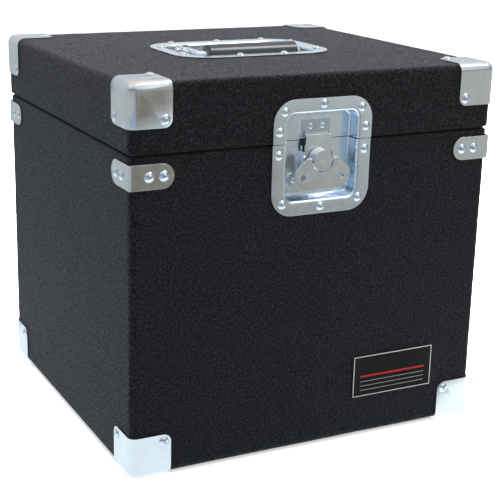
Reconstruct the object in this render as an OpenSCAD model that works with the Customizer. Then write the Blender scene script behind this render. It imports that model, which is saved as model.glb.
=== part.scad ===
// Carrying case for 12 inch records: a carpet-covered ply box with a hinged lid,
// riveted steel corners, a recessed butterfly latch and a recessed lifting handle.
// Millimetres. +X is right seen from the front, the front faces -Y, +Z is up.
// The origin is the middle of the base, on the plane that the case stands on.

/* [Case] */
// Width of the body over the carpet
case_w = 380; // [370:1:460]
// Depth of the body over the carpet
case_d = 356; // [350:1:460]
// Height of the case to the carpet on top of the lid
case_h = 369; // [360:1:420]
// Height of the lid, from its rim to the carpet on top
lid_h = 63.2; // [60:0.2:90]
// Gap between the rims of body and lid
seam_gap = 0.8; // [0.5:0.1:1.5]
// How far the lid stands out past the body on every side
lid_overhang = 0.8; // [0.4:0.1:1.5]
// Thickness of the ply panels
ply_t = 9; // [8:0.5:10]
// Thickness of the carpet
carpet_t = 3; // [2:0.5:4]
// Radius of the carpeted edges
edge_r = 7; // [6:0.5:10]
// Rounding of the carpet at the seam
rim_r = 2.8; // [1:0.2:2.8]
// Thickness of the foam pads inside
pad_t = 6; // [3:1:10]
// Space between a foam pad and the side panels
pad_gap = 0.5; // [0.2:0.1:2]

/* [Steel corners] */
// Thickness of all steel sheet on the outside
sheet_t = 1.2; // [0.8:0.1:2]
// Length of a corner protector's leaf along the case
corner_leg = 40; // [34:1:60]
// Radius of the free corner of a leaf
corner_tip_r = 8; // [4:1:12]
// Distance of a corner rivet from both edges of the case
corner_rivet_in = 32.8; // [26:0.2:33]
// Length of a brace's leg
brace_leg = 41.5; // [40:0.5:60]
// Height of a brace, whose ends are half round
brace_h = 22.9; // [20:0.1:26]
// Distance of a brace's top edge below the seam
brace_drop = 7; // [4:0.5:12]
// Outer radius of a brace's bend
brace_bend_r = 3; // [2.2:0.1:6]
// Distance of the first brace rivet from the case edge
brace_rivet_a = 17.5; // [16:0.5:20]
// Distance of the second brace rivet from the case edge
brace_rivet_b = 31.5; // [29:0.5:34]

/* [Rivets] */
// Head diameter of the rivets in corners and braces
head_d = 9.7; // [8:0.1:11]
// Height of a rivet's domed head
head_h = 2.4; // [1.5:0.1:3]
// Shank diameter of the corner rivets
shank_d = 4.8; // [4:0.1:5]
// Head diameter of the rivets in the dishes
dish_head_d = 8.5; // [7:0.1:10]
// Head diameter of the small rivets in the latch and the hinges
small_head_d = 6.5; // [5:0.1:7]
// Head height of the small rivets
small_head_h = 1.6; // [1:0.1:2]
// Shank diameter of the small rivets
small_shank_d = 3.2; // [2.5:0.1:4]
// Diameter of the spread tail of a rivet
tail_d = 6.8; // [6:0.1:6.8]
// Length of the spread tail of a rivet
tail_h = 1.8; // [1:0.1:2.5]
// Diameter of the dimple in a rivet's head
dimple_d = 2.6; // [1.5:0.1:2.8]
// Depth of the dimple in a rivet's head
dimple_depth = 0.9; // [0.4:0.1:1.1]

/* [Latch dish] */
// Width of the dish flange
dish_w = 104; // [100:1:120]
// Height of the dish flange
dish_h = 109; // [106:1:120]
// Corner radius of the dish flange
dish_corner_r = 22; // [10:1:28]
// Width of the dish opening
dish_open_w = 74; // [72:1:80]
// Height of the dish opening
dish_open_h = 81; // [78:1:86]
// Corner radius of the dish opening
dish_open_r = 9; // [6:1:14]
// Depth of the dish, from the carpet to the back of its floor
dish_depth = 14.7; // [14:0.1:17]
// Visible radius where the flange turns into the wall
dish_rim_r = 3; // [1.8:0.1:4]
// Visible radius between wall and floor
dish_floor_r = 3; // [1:0.1:5]
// Distance of the dish's middle below the seam
dish_drop = 13.1; // [10:0.1:16]

/* [Latch] */
// Distance of the rotor's axis below the seam
rotor_drop = 17; // [15:0.5:18]
// Diameter of the rotor's front face
cap_d = 19.5; // [16:0.1:20]
// Diameter of the rotor where it meets the cam
cap_back_d = 22.5; // [20:0.1:24]
// How far the rotor's face stands in front of the carpet
cap_proud = 4; // [3.8:0.1:6]
// Diameter of the cam disc
cam_d = 12; // [11.5:0.1:13]
// Offset of the cam disc from the rotor's axis
cam_offset = 2.5; // [1.5:0.1:3]
// Thickness of the cam disc
cam_t = 3.4; // [3:0.1:3.6]
// Diameter of the rotor's journal
journal_d = 10; // [7:0.1:10]
// Distance of the hook strap's face behind the carpet
strap_in = 5.6; // [5.4:0.1:6.2]
// Width of the hook strap
strap_w = 28; // [26:0.5:30]
// Thickness of the hook strap
strap_t = 1.8; // [1.4:0.1:2.2]
// Width of the hook's bent end
hook_w = 26; // [20:0.5:28]
// Height of the hook's bent end above the seam
hook_rise = 6; // [5.5:0.1:7]
// Gap between the hook's bent end and the keeper's lip
hook_gap = 0.4; // [0.3:0.1:0.8]
// Thickness of the base plate and the keeper
plate_t = 1.6; // [1.2:0.1:2]
// Thickness of the keeper's lip
lip_t = 1.2; // [0.8:0.1:1.3]
// Width of the keeper
keeper_w = 29; // [26:0.5:36]
// Height of the keeper's top edge above the seam
keeper_rise = 19.6; // [18:0.1:22]
// Height of the keeper's lip above the seam
lip_rise = 9.2; // [8:0.1:9.4]
// Radial clearance of the journal and of the wing's pin
run_gap = 0.05; // [0.02:0.01:0.1]
// Space between pieces that slide past each other
slide_gap = 0.4; // [0.3:0.05:0.6]

/* [Wing] */
// Width of the butterfly wing
wing_w = 60; // [50:1:62]
// Height of the wing below the rotor's axis
wing_reach = 27; // [24:0.5:28]
// Thickness of the wing
wing_t = 1.8; // [1.4:0.1:2]
// Distance of the wing's back in front of the carpet
wing_proud = 1.8; // [1.6:0.1:2.4]
// Half the width of the notch round the rotor
notch_r = 11.5; // [11:0.1:12.5]
// Diameter of the finger holes
wing_hole_d = 6.5; // [4:0.1:8]
// Diameter of the pin that the wing folds on
pin_d = 3; // [2:0.1:3.2]
// Radius of the ears that hold the pin
ear_r = 3; // [2.6:0.1:3.4]

/* [Handle] */
// Width of the handle dish flange at the left and right of the opening
grip_flange_x = 14; // [12:0.5:20]
// Depth of the handle dish flange, front to back
grip_dish_d = 118; // [112:1:130]
// Corner radius of the handle dish flange
grip_dish_r = 34; // [20:1:44]
// Gap between the end of a bail pivot and the side wall of the handle dish
grip_side_gap = 5; // [3:0.5:10]
// Depth of the handle dish opening, front to back
grip_open_d = 90; // [86:1:96]
// Corner radius of the handle dish opening
grip_open_r = 8; // [6:0.5:8]
// Depth of the handle dish, from the carpet to the back of its floor
grip_dish_depth = 24; // [22:0.5:28]
// Place of the handle dish in front of the case's middle
grip_dish_fwd = 4; // [0:1:10]
// Length of the rubber grip
grip_len = 99; // [90:1:102]
// Diameter of the rubber grip
grip_d = 21; // [18:0.5:23]
// Place of the grip's axis in front of the case's middle
grip_fwd = 31; // [27:0.5:33]
// Height of the grip's axis below the carpet
grip_drop = 1; // [0:0.5:4]
// Distance from the grip's axis to the bail's pivots
bail_reach = 35.6; // [32:0.2:40]
// Diameter of the bail's rod
bail_d = 8; // [6:0.5:8]
// Radius of the bail's bends, at the middle of the rod
bail_bend_r = 6; // [5:0.5:7]
// Thickness of the handle brackets
bracket_t = 2; // [1.5:0.1:2.4]
// Gap between an arm of the bail and its bracket
arm_gap = 2.8; // [2:0.1:4]
// How far a pivot of the bail stands past its bracket
pivot_past = 2.2; // [1:0.1:3]
// Height of a bracket above the bail's axis
bracket_rise = 5.5; // [5:0.1:6]
// Thickness of the tab that stops the raised bail
stop_t = 1.6; // [1.2:0.1:2]

/* [Hinges] */
// Width of a hinge
hinge_w = 60; // [50:1:90]
// Distance of a hinge's middle from the side of the case
hinge_in = 80; // [74:1:110]
// Length of a hinge leaf, from the seam to its free edge
hinge_leaf = 34; // [30:1:45]
// Thickness of a hinge leaf
hinge_t = 1.6; // [1.2:0.1:2]
// Outer radius of a hinge knuckle
knuckle_r = 3.8; // [3.6:0.1:4]
// Diameter of a hinge pin
hinge_pin_d = 4; // [3:0.1:4.4]
// Number of knuckles in a hinge
knuckles = 5; // [3:2:7]
// Gap between two knuckles
knuckle_gap = 0.4; // [0.3:0.1:0.8]
// Distance of the hinge rivets from the leaf's edges
hinge_rivet_in = 8; // [7:0.5:9]

/* [Name plate] */
// Width of the plate
label_w = 92; // [60:1:110]
// Height of the plate
label_h = 42.5; // [30:0.5:50]
// Thickness of the plate
label_t = 1; // [0.6:0.1:1.5]
// Place of the plate's middle to the right of the case's middle
label_x = 93; // [60:1:100]
// Height of the plate's middle
label_z = 63.3; // [60:0.1:120]

/* [Hidden] */
$fn = 64;

// Colours
black_carpet = [0.10, 0.10, 0.11];
bare_ply = [0.72, 0.58, 0.40];
grey_foam = [0.25, 0.25, 0.27];
plated_steel = [0.76, 0.78, 0.80];
bright_rivet = [0.86, 0.88, 0.90];
black_rubber = [0.13, 0.13, 0.14];
black_gloss = [0.05, 0.05, 0.06];

// Small working values
eps = 0.01;                   // cutters run past a face by this much
far = 20;                     // cutters run this far into open space
rivet_fit = 0.1;              // radial space round a rivet's shank in wood and carpet
ring_t = 1.1;                 // thickness of the rotor's retaining ring
ring_w = 3;                   // width of the retaining ring outside the journal
ring_groove = 0.8;            // depth of the ring's groove
journal_end = 0.9;            // journal behind the retaining ring
ring_play = 0.2;              // play between the ring and the dish floor

// Levels and planes
seam_z = case_h - lid_h - seam_gap;               // height of the seam, where the body ends
lid_z = seam_z + seam_gap;                        // lower rim of the lid
lid_w = case_w + 2*lid_overhang;                  // width of the lid over the carpet
lid_d = case_d + 2*lid_overhang;                  // depth of the lid over the carpet
skin = carpet_t + ply_t;                          // carpet and ply together
body_front = -case_d/2;                           // carpet plane at the front of the body
body_back = case_d/2;                             // carpet plane at the back of the body
lid_front = -lid_d/2;
lid_back = lid_d/2;
pad_top = skin + pad_t;                           // top of the pad on the base
lid_ceiling = case_h - skin;                      // underside of the lid's top panel
grip_z = case_h - grip_drop;                      // axis of grip and bail pivots
local_leg = corner_leg + sheet_t;                 // leaf length measured from the steel's outside
local_rivet = corner_rivet_in + sheet_t;

// Latch, measured back from the body's carpet plane
rotor_z = seam_z - rotor_drop;
dish_z = seam_z - dish_drop;
floor_in = dish_depth - sheet_t;                  // front of the dish floor
plate_in = floor_in - plate_t;                    // front of the base plate
cam_in = strap_in - (cam_t - strap_t)/2;          // front of the cam disc
cam_out = cam_in + cam_t;                         // back of the cam disc
ring_in = dish_depth + ring_play;                 // front of the retaining ring
journal_in = ring_in + ring_t + journal_end;      // back end of the journal
lip_in = floor_in - lid_overhang - plate_t - 0.5 - lip_t;   // front of the keeper's lip
hook_back = lip_in - hook_gap;                    // back edge of the hook's bent end
hook_travel = 2*cam_offset;                       // rise of the hook over half a turn
cam_play = 0.6;                                   // space above and below the cam in its window
window_w = cam_d + 2*cam_offset + 2*slide_gap;
window_h = cam_d + 2*cam_play;
strap_below = 12;                                 // strap below the rotor's axis
keeper_z = seam_z + 1.8;                          // underside of the keeper
guide_h = 17;                                     // height of the base plate's guides
guide_in = strap_in - 0.6;                        // front edge of the guides
plate_low = 27;                                   // base plate below the rotor's axis
plate_high = 12;                                  // base plate above the rotor's axis
plate_half_w = 19;                                // half the width of the base plate
plate_step = 5;                                   // base plate narrower above the rotor's axis
plate_ear_x = 21.5;                               // centre of the base plate's ears
plate_ear_drop = 20.5;                            // ears below the rotor's axis
plate_ear_r = 8;

// Dish rivets, as [x, height above the middle of the dish]
dish_rivets_upper = [[0, 48.9], [-40.6, 43.3], [40.6, 43.3], [-45.5, 25.1], [45.5, 25.1]];
dish_rivets_lower = [[-45.4, 3.5], [45.4, 3.5], [-40.6, -42.9], [40.6, -42.9], [0, -47.7]];
keeper_rivet_x = 6.3;
keeper_rivet_rise = 13;                           // keeper rivets above the seam
keeper_rivet_z = seam_z + keeper_rivet_rise;

bail_arm_x = grip_len/2 + bail_bend_r;            // middle of a bail arm
bracket_x = bail_arm_x + bail_d/2 + arm_gap;      // inner face of a bracket
bail_end_x = bracket_x + bracket_t + pivot_past;  // outer end of a bail pivot
grip_open_w = 2*(bail_end_x + grip_side_gap);     // opening of the handle dish
grip_dish_w = grip_open_w + 2*grip_flange_x;      // flange of the handle dish
side_rivet_x = grip_dish_w/2 - 9.5;

// Handle dish rivets, as [x, distance behind the middle of the dish]
grip_dish_rivets = [[-24.4, -53], [24.4, -53], [-53, 52], [0, 52], [53, 52],
                    [-side_rivet_x, -28], [side_rivet_x, -28],
                    [-side_rivet_x, 28], [side_rivet_x, 28]];
grip_dish_y = -grip_dish_fwd;
grip_y = -grip_fwd;
bracket_back = bail_d/2 + slide_gap + stop_t;     // back edge of a bracket behind the pivot axis
bail_y = grip_y + bail_reach;                     // pivot axis of the bail
grip_floor_z = case_h - grip_dish_depth + sheet_t;
bracket_half_w = 8;
stop_w = 6;                                       // width of the tab that the bail rests on
stop_from = 12;                                   // distance of the tab from the pivot
foot_l = 12;                                      // length of a bracket's foot
foot_front = 4;                                   // foot in front of the tab
foot_rivet_in = 7.5;                              // foot rivets from the upright plate
foot_rivet_back = 4;                              // rear foot rivet in front of the pivot

// Hinges
hinge_x = case_w/2 - hinge_in;                    // middle of a hinge
hinge_axis_y = lid_back + knuckle_r - 0.2;
hinge_axis_z = seam_z + seam_gap/2;
hinge_clear = knuckle_r + slide_gap;
hinge_rivet_pitch = 14;                           // between two rivets of a leaf, up and down
knuckle_w = hinge_w/knuckles;

// Wing outline, as [x, height above the rotor's axis, corner radius]
wing_top = 2.5;
wing_shoulder = 17;
wing_lobe_z = -14;
wing_foot = 19;
wing_lobe_r = 7;
wing_lobe_up = 4;                                 // upper corner of a lobe above its middle
wing_lobe_down = 8;                               // lower corner of a lobe below its middle
wing_taper = 2;                                   // lower corner of a lobe inside the upper one
wing_corner_r = 4;
wing_hole_x = 20;
wing_hole_z = -15;
wing_ear_x = notch_r + 0.7;                       // inner face of an ear
pin_end = wing_ear_x + wing_t + 0.8;              // half the length of the wing's pin

// ---------- outlines ----------

// A rectangle with round corners, centred
module round_rect(w, h, r) {
    square([w - 2*r, h], center = true);
    square([w, h - 2*r], center = true);
    for (sx = [-1, 1], sy = [-1, 1])
        translate([sx*(w/2 - r), sy*(h/2 - r)])
            circle(r);
}

// Side outline of a box from z0 to z1, with its own radius below and above
module side_outline(w, z0, z1, r_low, r_high) {
    translate([-w/2, z0 + r_low])
        square([w, z1 - z0 - r_low - r_high]);
    if (r_low > 0) {
        translate([-w/2 + r_low, z0])
            square([w - 2*r_low, 2*r_low]);
        for (sx = [-1, 1])
            translate([sx*(w/2 - r_low), z0 + r_low])
                circle(r_low);
    }
    if (r_high > 0) {
        translate([-w/2 + r_high, z1 - 2*r_high])
            square([w - 2*r_high, 2*r_high]);
        for (sx = [-1, 1])
            translate([sx*(w/2 - r_high), z1 - r_high])
                circle(r_high);
    }
}

// A box with rounded upright edges and rounded edges below and above
module soft_box(w, d, z0, z1, r_side, r_low, r_high) {
    intersection() {
        translate([0, 0, z0])
            linear_extrude(z1 - z0)
                round_rect(w, d, r_side);
        rotate([90, 0, 0])
            linear_extrude(d + 2, center = true)
                side_outline(w, z0, z1, r_low, r_high);
        rotate([90, 0, 90])
            linear_extrude(w + 2, center = true)
                side_outline(d, z0, z1, r_low, r_high);
    }
}

// Points of a polygon whose corners [x, y, radius] are rounded, n steps to a corner
function unit(v) = v/norm(v);
function corner_arc(a, b, c, n) =
    let (p = [a.x, a.y], q = [b.x, b.y], s = [c.x, c.y], r = b.z)
    r == 0 ? [q] :
    let (u = unit(p - q), v = unit(s - q), half = acos(u*v)/2,
         mid = q + unit(u + v)*r/sin(half),
         from = q + u*r/tan(half), to = q + v*r/tan(half),
         a0 = atan2(from.y - mid.y, from.x - mid.x),
         a1 = atan2(to.y - mid.y, to.x - mid.x),
         turn = a1 - a0 > 180 ? a1 - a0 - 360 : a1 - a0 < -180 ? a1 - a0 + 360 : a1 - a0)
    [for (i = [0:n]) mid + r*[cos(a0 + turn*i/n), sin(a0 + turn*i/n)]];
function rounded_outline(pts, n = 8) =
    [for (i = [0:len(pts) - 1])
        each corner_arc(pts[(i + len(pts) - 1) % len(pts)], pts[i], pts[(i + 1) % len(pts)], n)];

// ---------- rivets ----------

// A rivet whose sheet lies below z = 0: domed head above, shank and tail below
module rivet(d, h, shank, grip) {
    sphere_r = (d*d/4 + h*h)/(2*h);
    color(bright_rivet)
        rotate_extrude() {
            difference() {
                intersection() {
                    translate([0, h - sphere_r])
                        circle(sphere_r, $fn = 128);
                    square([d, h + 1]);
                }
                translate([-1, h - dimple_depth])
                    square([1 + dimple_d/2, 2]);
            }
            translate([0, -grip])
                square([shank/2, grip + eps]);
            translate([0, -grip - tail_h])
                square([max(shank/2, min(tail_d/2, shank*0.72)), tail_h]);
        }
}

// A rivet whose head is level with the sheet
module flush_rivet(grip) {
    color(bright_rivet)
        rotate_extrude() {
            translate([0, -sheet_t])
                square([head_d/2, sheet_t]);
            translate([0, -grip])
                square([shank_d/2, grip - sheet_t + eps]);
            translate([0, -grip - tail_h])
                square([tail_d/2, tail_h]);
        }
}

// The hole that a shank passes through
module shank_hole(shank, depth) {
    translate([0, 0, -depth])
        cylinder(d = shank, h = depth + far);
}

// ---------- corner protectors ----------

// Puts its children at a corner of the case. They are drawn as for the corner whose
// outer steel faces lie on x = 0, y = 0 and z = 0, with the case towards +x, +y and +z.
module at_corner(w, d, z, sx, sy, sz) {
    translate([sx*(w/2 + sheet_t), sy*(d/2 + sheet_t), z])
        mirror([sx > 0 ? 1 : 0, 0, 0])
            mirror([0, sy > 0 ? 1 : 0, 0])
                mirror([0, 0, sz > 0 ? 1 : 0])
                    children();
}
module at_bottom_corner(sx, sy) {
    at_corner(case_w, case_d, 0, sx, sy, -1) children();
}
module at_top_corner(sx, sy) {
    at_corner(lid_w, lid_d, case_h + sheet_t, sx, sy, 1) children();
}

// A quarter plane with its corner rounded
module quarter_plane(inset, r, size) {
    translate([inset + r, inset]) square([size - inset - r, size - inset]);
    translate([inset, inset + r]) square([size - inset, size - inset - r]);
    translate([inset + r, inset + r]) circle(r);
}

// The case's corner as a solid, its three faces set back by inset
module corner_solid(inset, r, size) {
    intersection() {
        linear_extrude(size) quarter_plane(inset, r, size);
        translate([0, size, 0]) rotate([90, 0, 0]) linear_extrude(size) quarter_plane(inset, r, size);
        rotate([90, 0, 90]) linear_extrude(size) quarter_plane(inset, r, size);
    }
}

// Outline of one leaf: square, with its free corner rounded
module leaf_outline() {
    square([local_leg - corner_tip_r, local_leg]);
    square([local_leg, local_leg - corner_tip_r]);
    translate([local_leg - corner_tip_r, local_leg - corner_tip_r])
        circle(corner_tip_r);
}

// Children stand at the rivet of each upright leaf, outwards along +z
module side_leaf_rivets() {
    translate([0, local_rivet, local_rivet]) rotate([0, -90, 0]) children();
    translate([local_rivet, 0, local_rivet]) rotate([90, 0, 0]) children();
}
module flat_leaf_rivet() {
    translate([local_rivet, local_rivet, 0]) rotate([180, 0, 0]) children();
}

module corner_protector(flat_hole_d) {
    depth = edge_r + sheet_t;
    color(plated_steel)
        difference() {
            intersection() {
                difference() {
                    corner_solid(0, edge_r + sheet_t, local_leg + 1);
                    corner_solid(sheet_t, edge_r, local_leg + 2);
                }
                union() {
                    linear_extrude(depth) leaf_outline();
                    translate([0, depth, 0]) rotate([90, 0, 0]) linear_extrude(depth) leaf_outline();
                    rotate([90, 0, 90]) linear_extrude(depth) leaf_outline();
                }
            }
            side_leaf_rivets() shank_hole(shank_d, 3);
            flat_leaf_rivet() shank_hole(flat_hole_d, 3);
        }
}

module corner_bottom_front_left() at_bottom_corner(-1, -1) corner_protector(head_d);
module corner_bottom_front_right() at_bottom_corner(1, -1) corner_protector(head_d);
module corner_bottom_back_left() at_bottom_corner(-1, 1) corner_protector(head_d);
module corner_bottom_back_right() at_bottom_corner(1, 1) corner_protector(head_d);
module corner_top_front_left() at_top_corner(-1, -1) corner_protector(shank_d);
module corner_top_front_right() at_top_corner(1, -1) corner_protector(shank_d);
module corner_top_back_left() at_top_corner(-1, 1) corner_protector(shank_d);
module corner_top_back_right() at_top_corner(1, 1) corner_protector(shank_d);

module bottom_corner_rivets() {
    for (sx = [-1, 1], sy = [-1, 1])
        at_bottom_corner(sx, sy) {
            side_leaf_rivets() rivet(head_d, head_h, shank_d, sheet_t + skin);
            flat_leaf_rivet() flush_rivet(skin);
        }
}

module top_corner_rivets() {
    for (sx = [-1, 1], sy = [-1, 1])
        at_top_corner(sx, sy) {
            side_leaf_rivets() rivet(head_d, head_h, shank_d, sheet_t + skin);
            flat_leaf_rivet() rivet(head_d, head_h, shank_d, sheet_t + skin);
        }
}

module corner_rivet_holes_body() {
    for (sx = [-1, 1], sy = [-1, 1])
        at_bottom_corner(sx, sy) {
            side_leaf_rivets() shank_hole(shank_d + 2*rivet_fit, skin + far);
            flat_leaf_rivet() shank_hole(shank_d + 2*rivet_fit, skin + eps);
        }
}

module corner_rivet_holes_lid() {
    for (sx = [-1, 1], sy = [-1, 1])
        at_top_corner(sx, sy) {
            side_leaf_rivets() shank_hole(shank_d + 2*rivet_fit, skin + far);
            flat_leaf_rivet() shank_hole(shank_d + 2*rivet_fit, sheet_t + skin + eps);
        }
}

// ---------- braces below the seam ----------

brace_z = seam_z - brace_drop - brace_h;

module at_brace(sx, sy) {
    translate([sx*(case_w/2 + sheet_t), sy*(case_d/2 + sheet_t), brace_z])
        mirror([sx > 0 ? 1 : 0, 0, 0])
            mirror([0, sy > 0 ? 1 : 0, 0])
                children();
}

module brace_leg_outline() {
    leg = brace_leg + sheet_t;
    square([leg - brace_h/2, brace_h]);
    translate([leg - brace_h/2, brace_h/2]) circle(brace_h/2);
}

module brace_rivet_spots() {
    for (along = [brace_rivet_a + sheet_t, brace_rivet_b + sheet_t]) {
        translate([0, along, brace_h/2]) rotate([0, -90, 0]) children();
        translate([along, 0, brace_h/2]) rotate([90, 0, 0]) children();
    }
}

module corner_brace() {
    size = brace_leg + far;
    color(plated_steel)
        difference() {
            intersection() {
                linear_extrude(brace_h)
                    difference() {
                        quarter_plane(0, brace_bend_r, size);
                        quarter_plane(sheet_t, brace_bend_r - sheet_t, size + 1);
                    }
                union() {
                    translate([0, brace_bend_r, 0]) rotate([90, 0, 0])
                        linear_extrude(brace_bend_r) brace_leg_outline();
                    rotate([90, 0, 90])
                        linear_extrude(brace_bend_r) brace_leg_outline();
                }
            }
            brace_rivet_spots() shank_hole(shank_d, 3);
        }
}

module brace_front_left() at_brace(-1, -1) corner_brace();
module brace_front_right() at_brace(1, -1) corner_brace();
module brace_back_left() at_brace(-1, 1) corner_brace();
module brace_back_right() at_brace(1, 1) corner_brace();

module brace_rivets() {
    for (sx = [-1, 1], sy = [-1, 1])
        at_brace(sx, sy) brace_rivet_spots() rivet(head_d, head_h, shank_d, sheet_t + skin);
}

module brace_rivet_holes() {
    for (sx = [-1, 1], sy = [-1, 1])
        at_brace(sx, sy) brace_rivet_spots() shank_hole(shank_d + 2*rivet_fit, sheet_t + skin + eps);
}

// ---------- pressed dishes ----------

// Section of the dish's wall: x runs outwards from the wall's visible face, y upwards
module dish_section(depth, rim_r, floor_r) {
    hidden_r = rim_r - sheet_t;
    low_z = -depth + sheet_t + floor_r;
    translate([0, low_z]) square([sheet_t, -hidden_r - low_z]);
    intersection() {
        translate([rim_r, -hidden_r])
            difference() {
                circle(rim_r);
                circle(hidden_r);
            }
        translate([0, -hidden_r]) square([rim_r, rim_r]);
    }
    intersection() {
        translate([-floor_r, low_z])
            difference() {
                circle(floor_r + sheet_t);
                circle(floor_r);
            }
        translate([-floor_r, low_z - floor_r - sheet_t]) square([floor_r + sheet_t, floor_r + sheet_t]);
    }
}

// Sweeps a section round a rectangle w by h whose corners have radius r
module sweep_round(w, h, r) {
    for (turn = [0, 1]) rotate([0, 0, 180*turn]) {
        translate([w/2, h/2 - r, 0]) rotate([90, 0, 0]) linear_extrude(h - 2*r) children();
        translate([-w/2 + r, h/2, 0]) rotate([90, 0, 90])
            linear_extrude(w - 2*r) children();
        translate([w/2 - r, h/2 - r, 0]) rotate_extrude(angle = 90) translate([r, 0]) children();
        translate([-w/2 + r, h/2 - r, 0]) rotate([0, 0, 90])
            rotate_extrude(angle = 90) translate([r, 0]) children();
    }
}

// A dish seen from the front: flange on z = 0, recess towards -z
module dish(w, h, r, open_w, open_h, open_r, depth, rim_r, floor_r) {
    linear_extrude(sheet_t)
        difference() {
            round_rect(w, h, r);
            round_rect(open_w + 2*rim_r, open_h + 2*rim_r, open_r + rim_r);
        }
    sweep_round(open_w, open_h, open_r)
        dish_section(depth, rim_r, floor_r);
    translate([0, 0, -depth])
        linear_extrude(sheet_t)
            round_rect(open_w - 2*floor_r, open_h - 2*floor_r, open_r - floor_r);
}

// Space that a dish needs in the panel behind it
module dish_cut(open_w, open_h, open_r, rim_r) {
    translate([0, 0, -2*far])
        linear_extrude(3*far)
            round_rect(open_w + 2*rim_r, open_h + 2*rim_r, open_r + rim_r);
}

// The latch dish's own frame: outwards is +z, up is +y
module at_latch_dish(front) {
    translate([0, front, dish_z]) rotate([90, 0, 0]) children();
}

module latch_dish_full() {
    dish(dish_w, dish_h, dish_corner_r, dish_open_w, dish_open_h, dish_open_r,
         dish_depth, dish_rim_r, dish_floor_r);
}

module latch_dish_lower() {
    color(plated_steel)
        difference() {
            intersection() {
                at_latch_dish(body_front) latch_dish_full();
                translate([-dish_w, body_front - far, seam_z - dish_h])
                    cube([2*dish_w, 3*far, dish_h]);
            }
            at_latch_dish(body_front) dish_rivet_spots(dish_rivets_lower) shank_hole(shank_d, 3);
            at_rotor(dish_depth) cylinder(r = journal_d/2 + run_gap, h = 4*sheet_t, center = true);
            base_plate_rivet_spots() shank_hole(small_shank_d, 2*sheet_t + plate_t);
        }
}

module latch_dish_upper() {
    color(plated_steel)
        difference() {
            intersection() {
                at_latch_dish(lid_front) latch_dish_full();
                translate([-dish_w, lid_front - far, lid_z])
                    cube([2*dish_w, 3*far, dish_h]);
            }
            at_latch_dish(lid_front) dish_rivet_spots(dish_rivets_upper) shank_hole(shank_d, 3);
            keeper_rivet_spots() shank_hole(small_shank_d, 2*sheet_t + plate_t);
        }
}

module dish_rivet_spots(places) {
    for (p = places)
        translate([p.x, p.y, sheet_t]) children();
}

module latch_dish_lower_rivets() {
    at_latch_dish(body_front) dish_rivet_spots(dish_rivets_lower)
        rivet(dish_head_d, head_h, shank_d, sheet_t + skin);
    base_plate_rivet_spots() rivet(small_head_d, small_head_h, small_shank_d, plate_t + sheet_t);
}

module latch_dish_upper_rivets() {
    at_latch_dish(lid_front) dish_rivet_spots(dish_rivets_upper)
        rivet(dish_head_d, head_h, shank_d, sheet_t + skin);
    keeper_rivet_spots() rivet(small_head_d, small_head_h, small_shank_d, plate_t + sheet_t);
}

// ---------- box ----------

// Cuts for the lower half of the latch dish in the body
module body_latch_cut() {
    at_latch_dish(body_front) dish_cut(dish_open_w, dish_open_h, dish_open_r, dish_rim_r);
    at_latch_dish(body_front) dish_rivet_spots(dish_rivets_lower)
        shank_hole(shank_d + 2*rivet_fit, skin + far);
}

module lid_latch_cut() {
    at_latch_dish(lid_front) dish_cut(dish_open_w, dish_open_h, dish_open_r, dish_rim_r);
    at_latch_dish(lid_front) dish_rivet_spots(dish_rivets_upper)
        shank_hole(shank_d + 2*rivet_fit, skin + far);
}

module body_ply_box(top) {
    soft_box(case_w - 2*carpet_t, case_d - 2*carpet_t, carpet_t, top,
             edge_r - carpet_t, edge_r - carpet_t, 0);
}

module lid_ply_box(low) {
    soft_box(lid_w - 2*carpet_t, lid_d - 2*carpet_t, low, case_h - carpet_t,
             edge_r - carpet_t, 0, edge_r - carpet_t);
}

// Slab of the ply box between two heights
module level_slab(z0, z1) {
    translate([-case_w, -case_d, z0]) cube([2*case_w, 2*case_d, z1 - z0]);
}

module base_panel() {
    color(bare_ply)
        difference() {
            intersection() {
                body_ply_box(seam_z);
                level_slab(0, skin);
            }
            corner_rivet_holes_body();
        }
}

module front_panel() {
    color(bare_ply)
        difference() {
            intersection() {
                body_ply_box(seam_z);
                translate([-case_w, body_front, skin]) cube([2*case_w, skin, case_h]);
            }
            corner_rivet_holes_body();
            brace_rivet_holes();
            body_latch_cut();
        }
}

module back_panel() {
    color(bare_ply)
        difference() {
            intersection() {
                body_ply_box(seam_z);
                translate([-case_w, body_back - skin, skin]) cube([2*case_w, skin, case_h]);
            }
            corner_rivet_holes_body();
            brace_rivet_holes();
            hinge_rivet_spots_body() shank_hole(small_shank_d + 2*rivet_fit, skin + far);
        }
}

module body_side_panel(side) {
    color(bare_ply)
        difference() {
            translate([side > 0 ? case_w/2 - skin : -case_w/2 + carpet_t, body_front + skin, skin])
                cube([ply_t, case_d - 2*skin, seam_z - skin]);
            corner_rivet_holes_body();
            brace_rivet_holes();
        }
}

module left_panel() body_side_panel(-1);
module right_panel() body_side_panel(1);

// The flat part of the carpet under the base, which can be thicker for a cut
module under_plate(more = 0) {
    translate([-case_w/2 + edge_r, body_front + edge_r, -more])
        cube([case_w - 2*edge_r, case_d - 2*edge_r, carpet_t + 2*more]);
}

// Everything of the steel corners that is pressed into the carpet below
module pressed_corners() {
    for (sx = [-1, 1], sy = [-1, 1])
        at_bottom_corner(sx, sy)
            difference() {
                translate([-1, -1, -1]) linear_extrude(edge_r + sheet_t + 1) pressed_outline();
                corner_solid(sheet_t, edge_r, local_leg + 2);
            }
}

module pressed_outline() {
    translate([1, 1]) leaf_outline();
    square([local_leg + 1, 2]);
    square([2, local_leg + 1]);
}

module body_carpet() {
    color(black_carpet)
        difference() {
            soft_box(case_w, case_d, 0, seam_z, edge_r, edge_r, rim_r);
            body_ply_box(seam_z + 1);
            under_plate(eps);
            pressed_corners();
            corner_rivet_holes_body();
            brace_rivet_holes();
            body_latch_cut();
            hinge_rivet_spots_body() shank_hole(small_shank_d + 2*rivet_fit, skin + far);
        }
}

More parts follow.
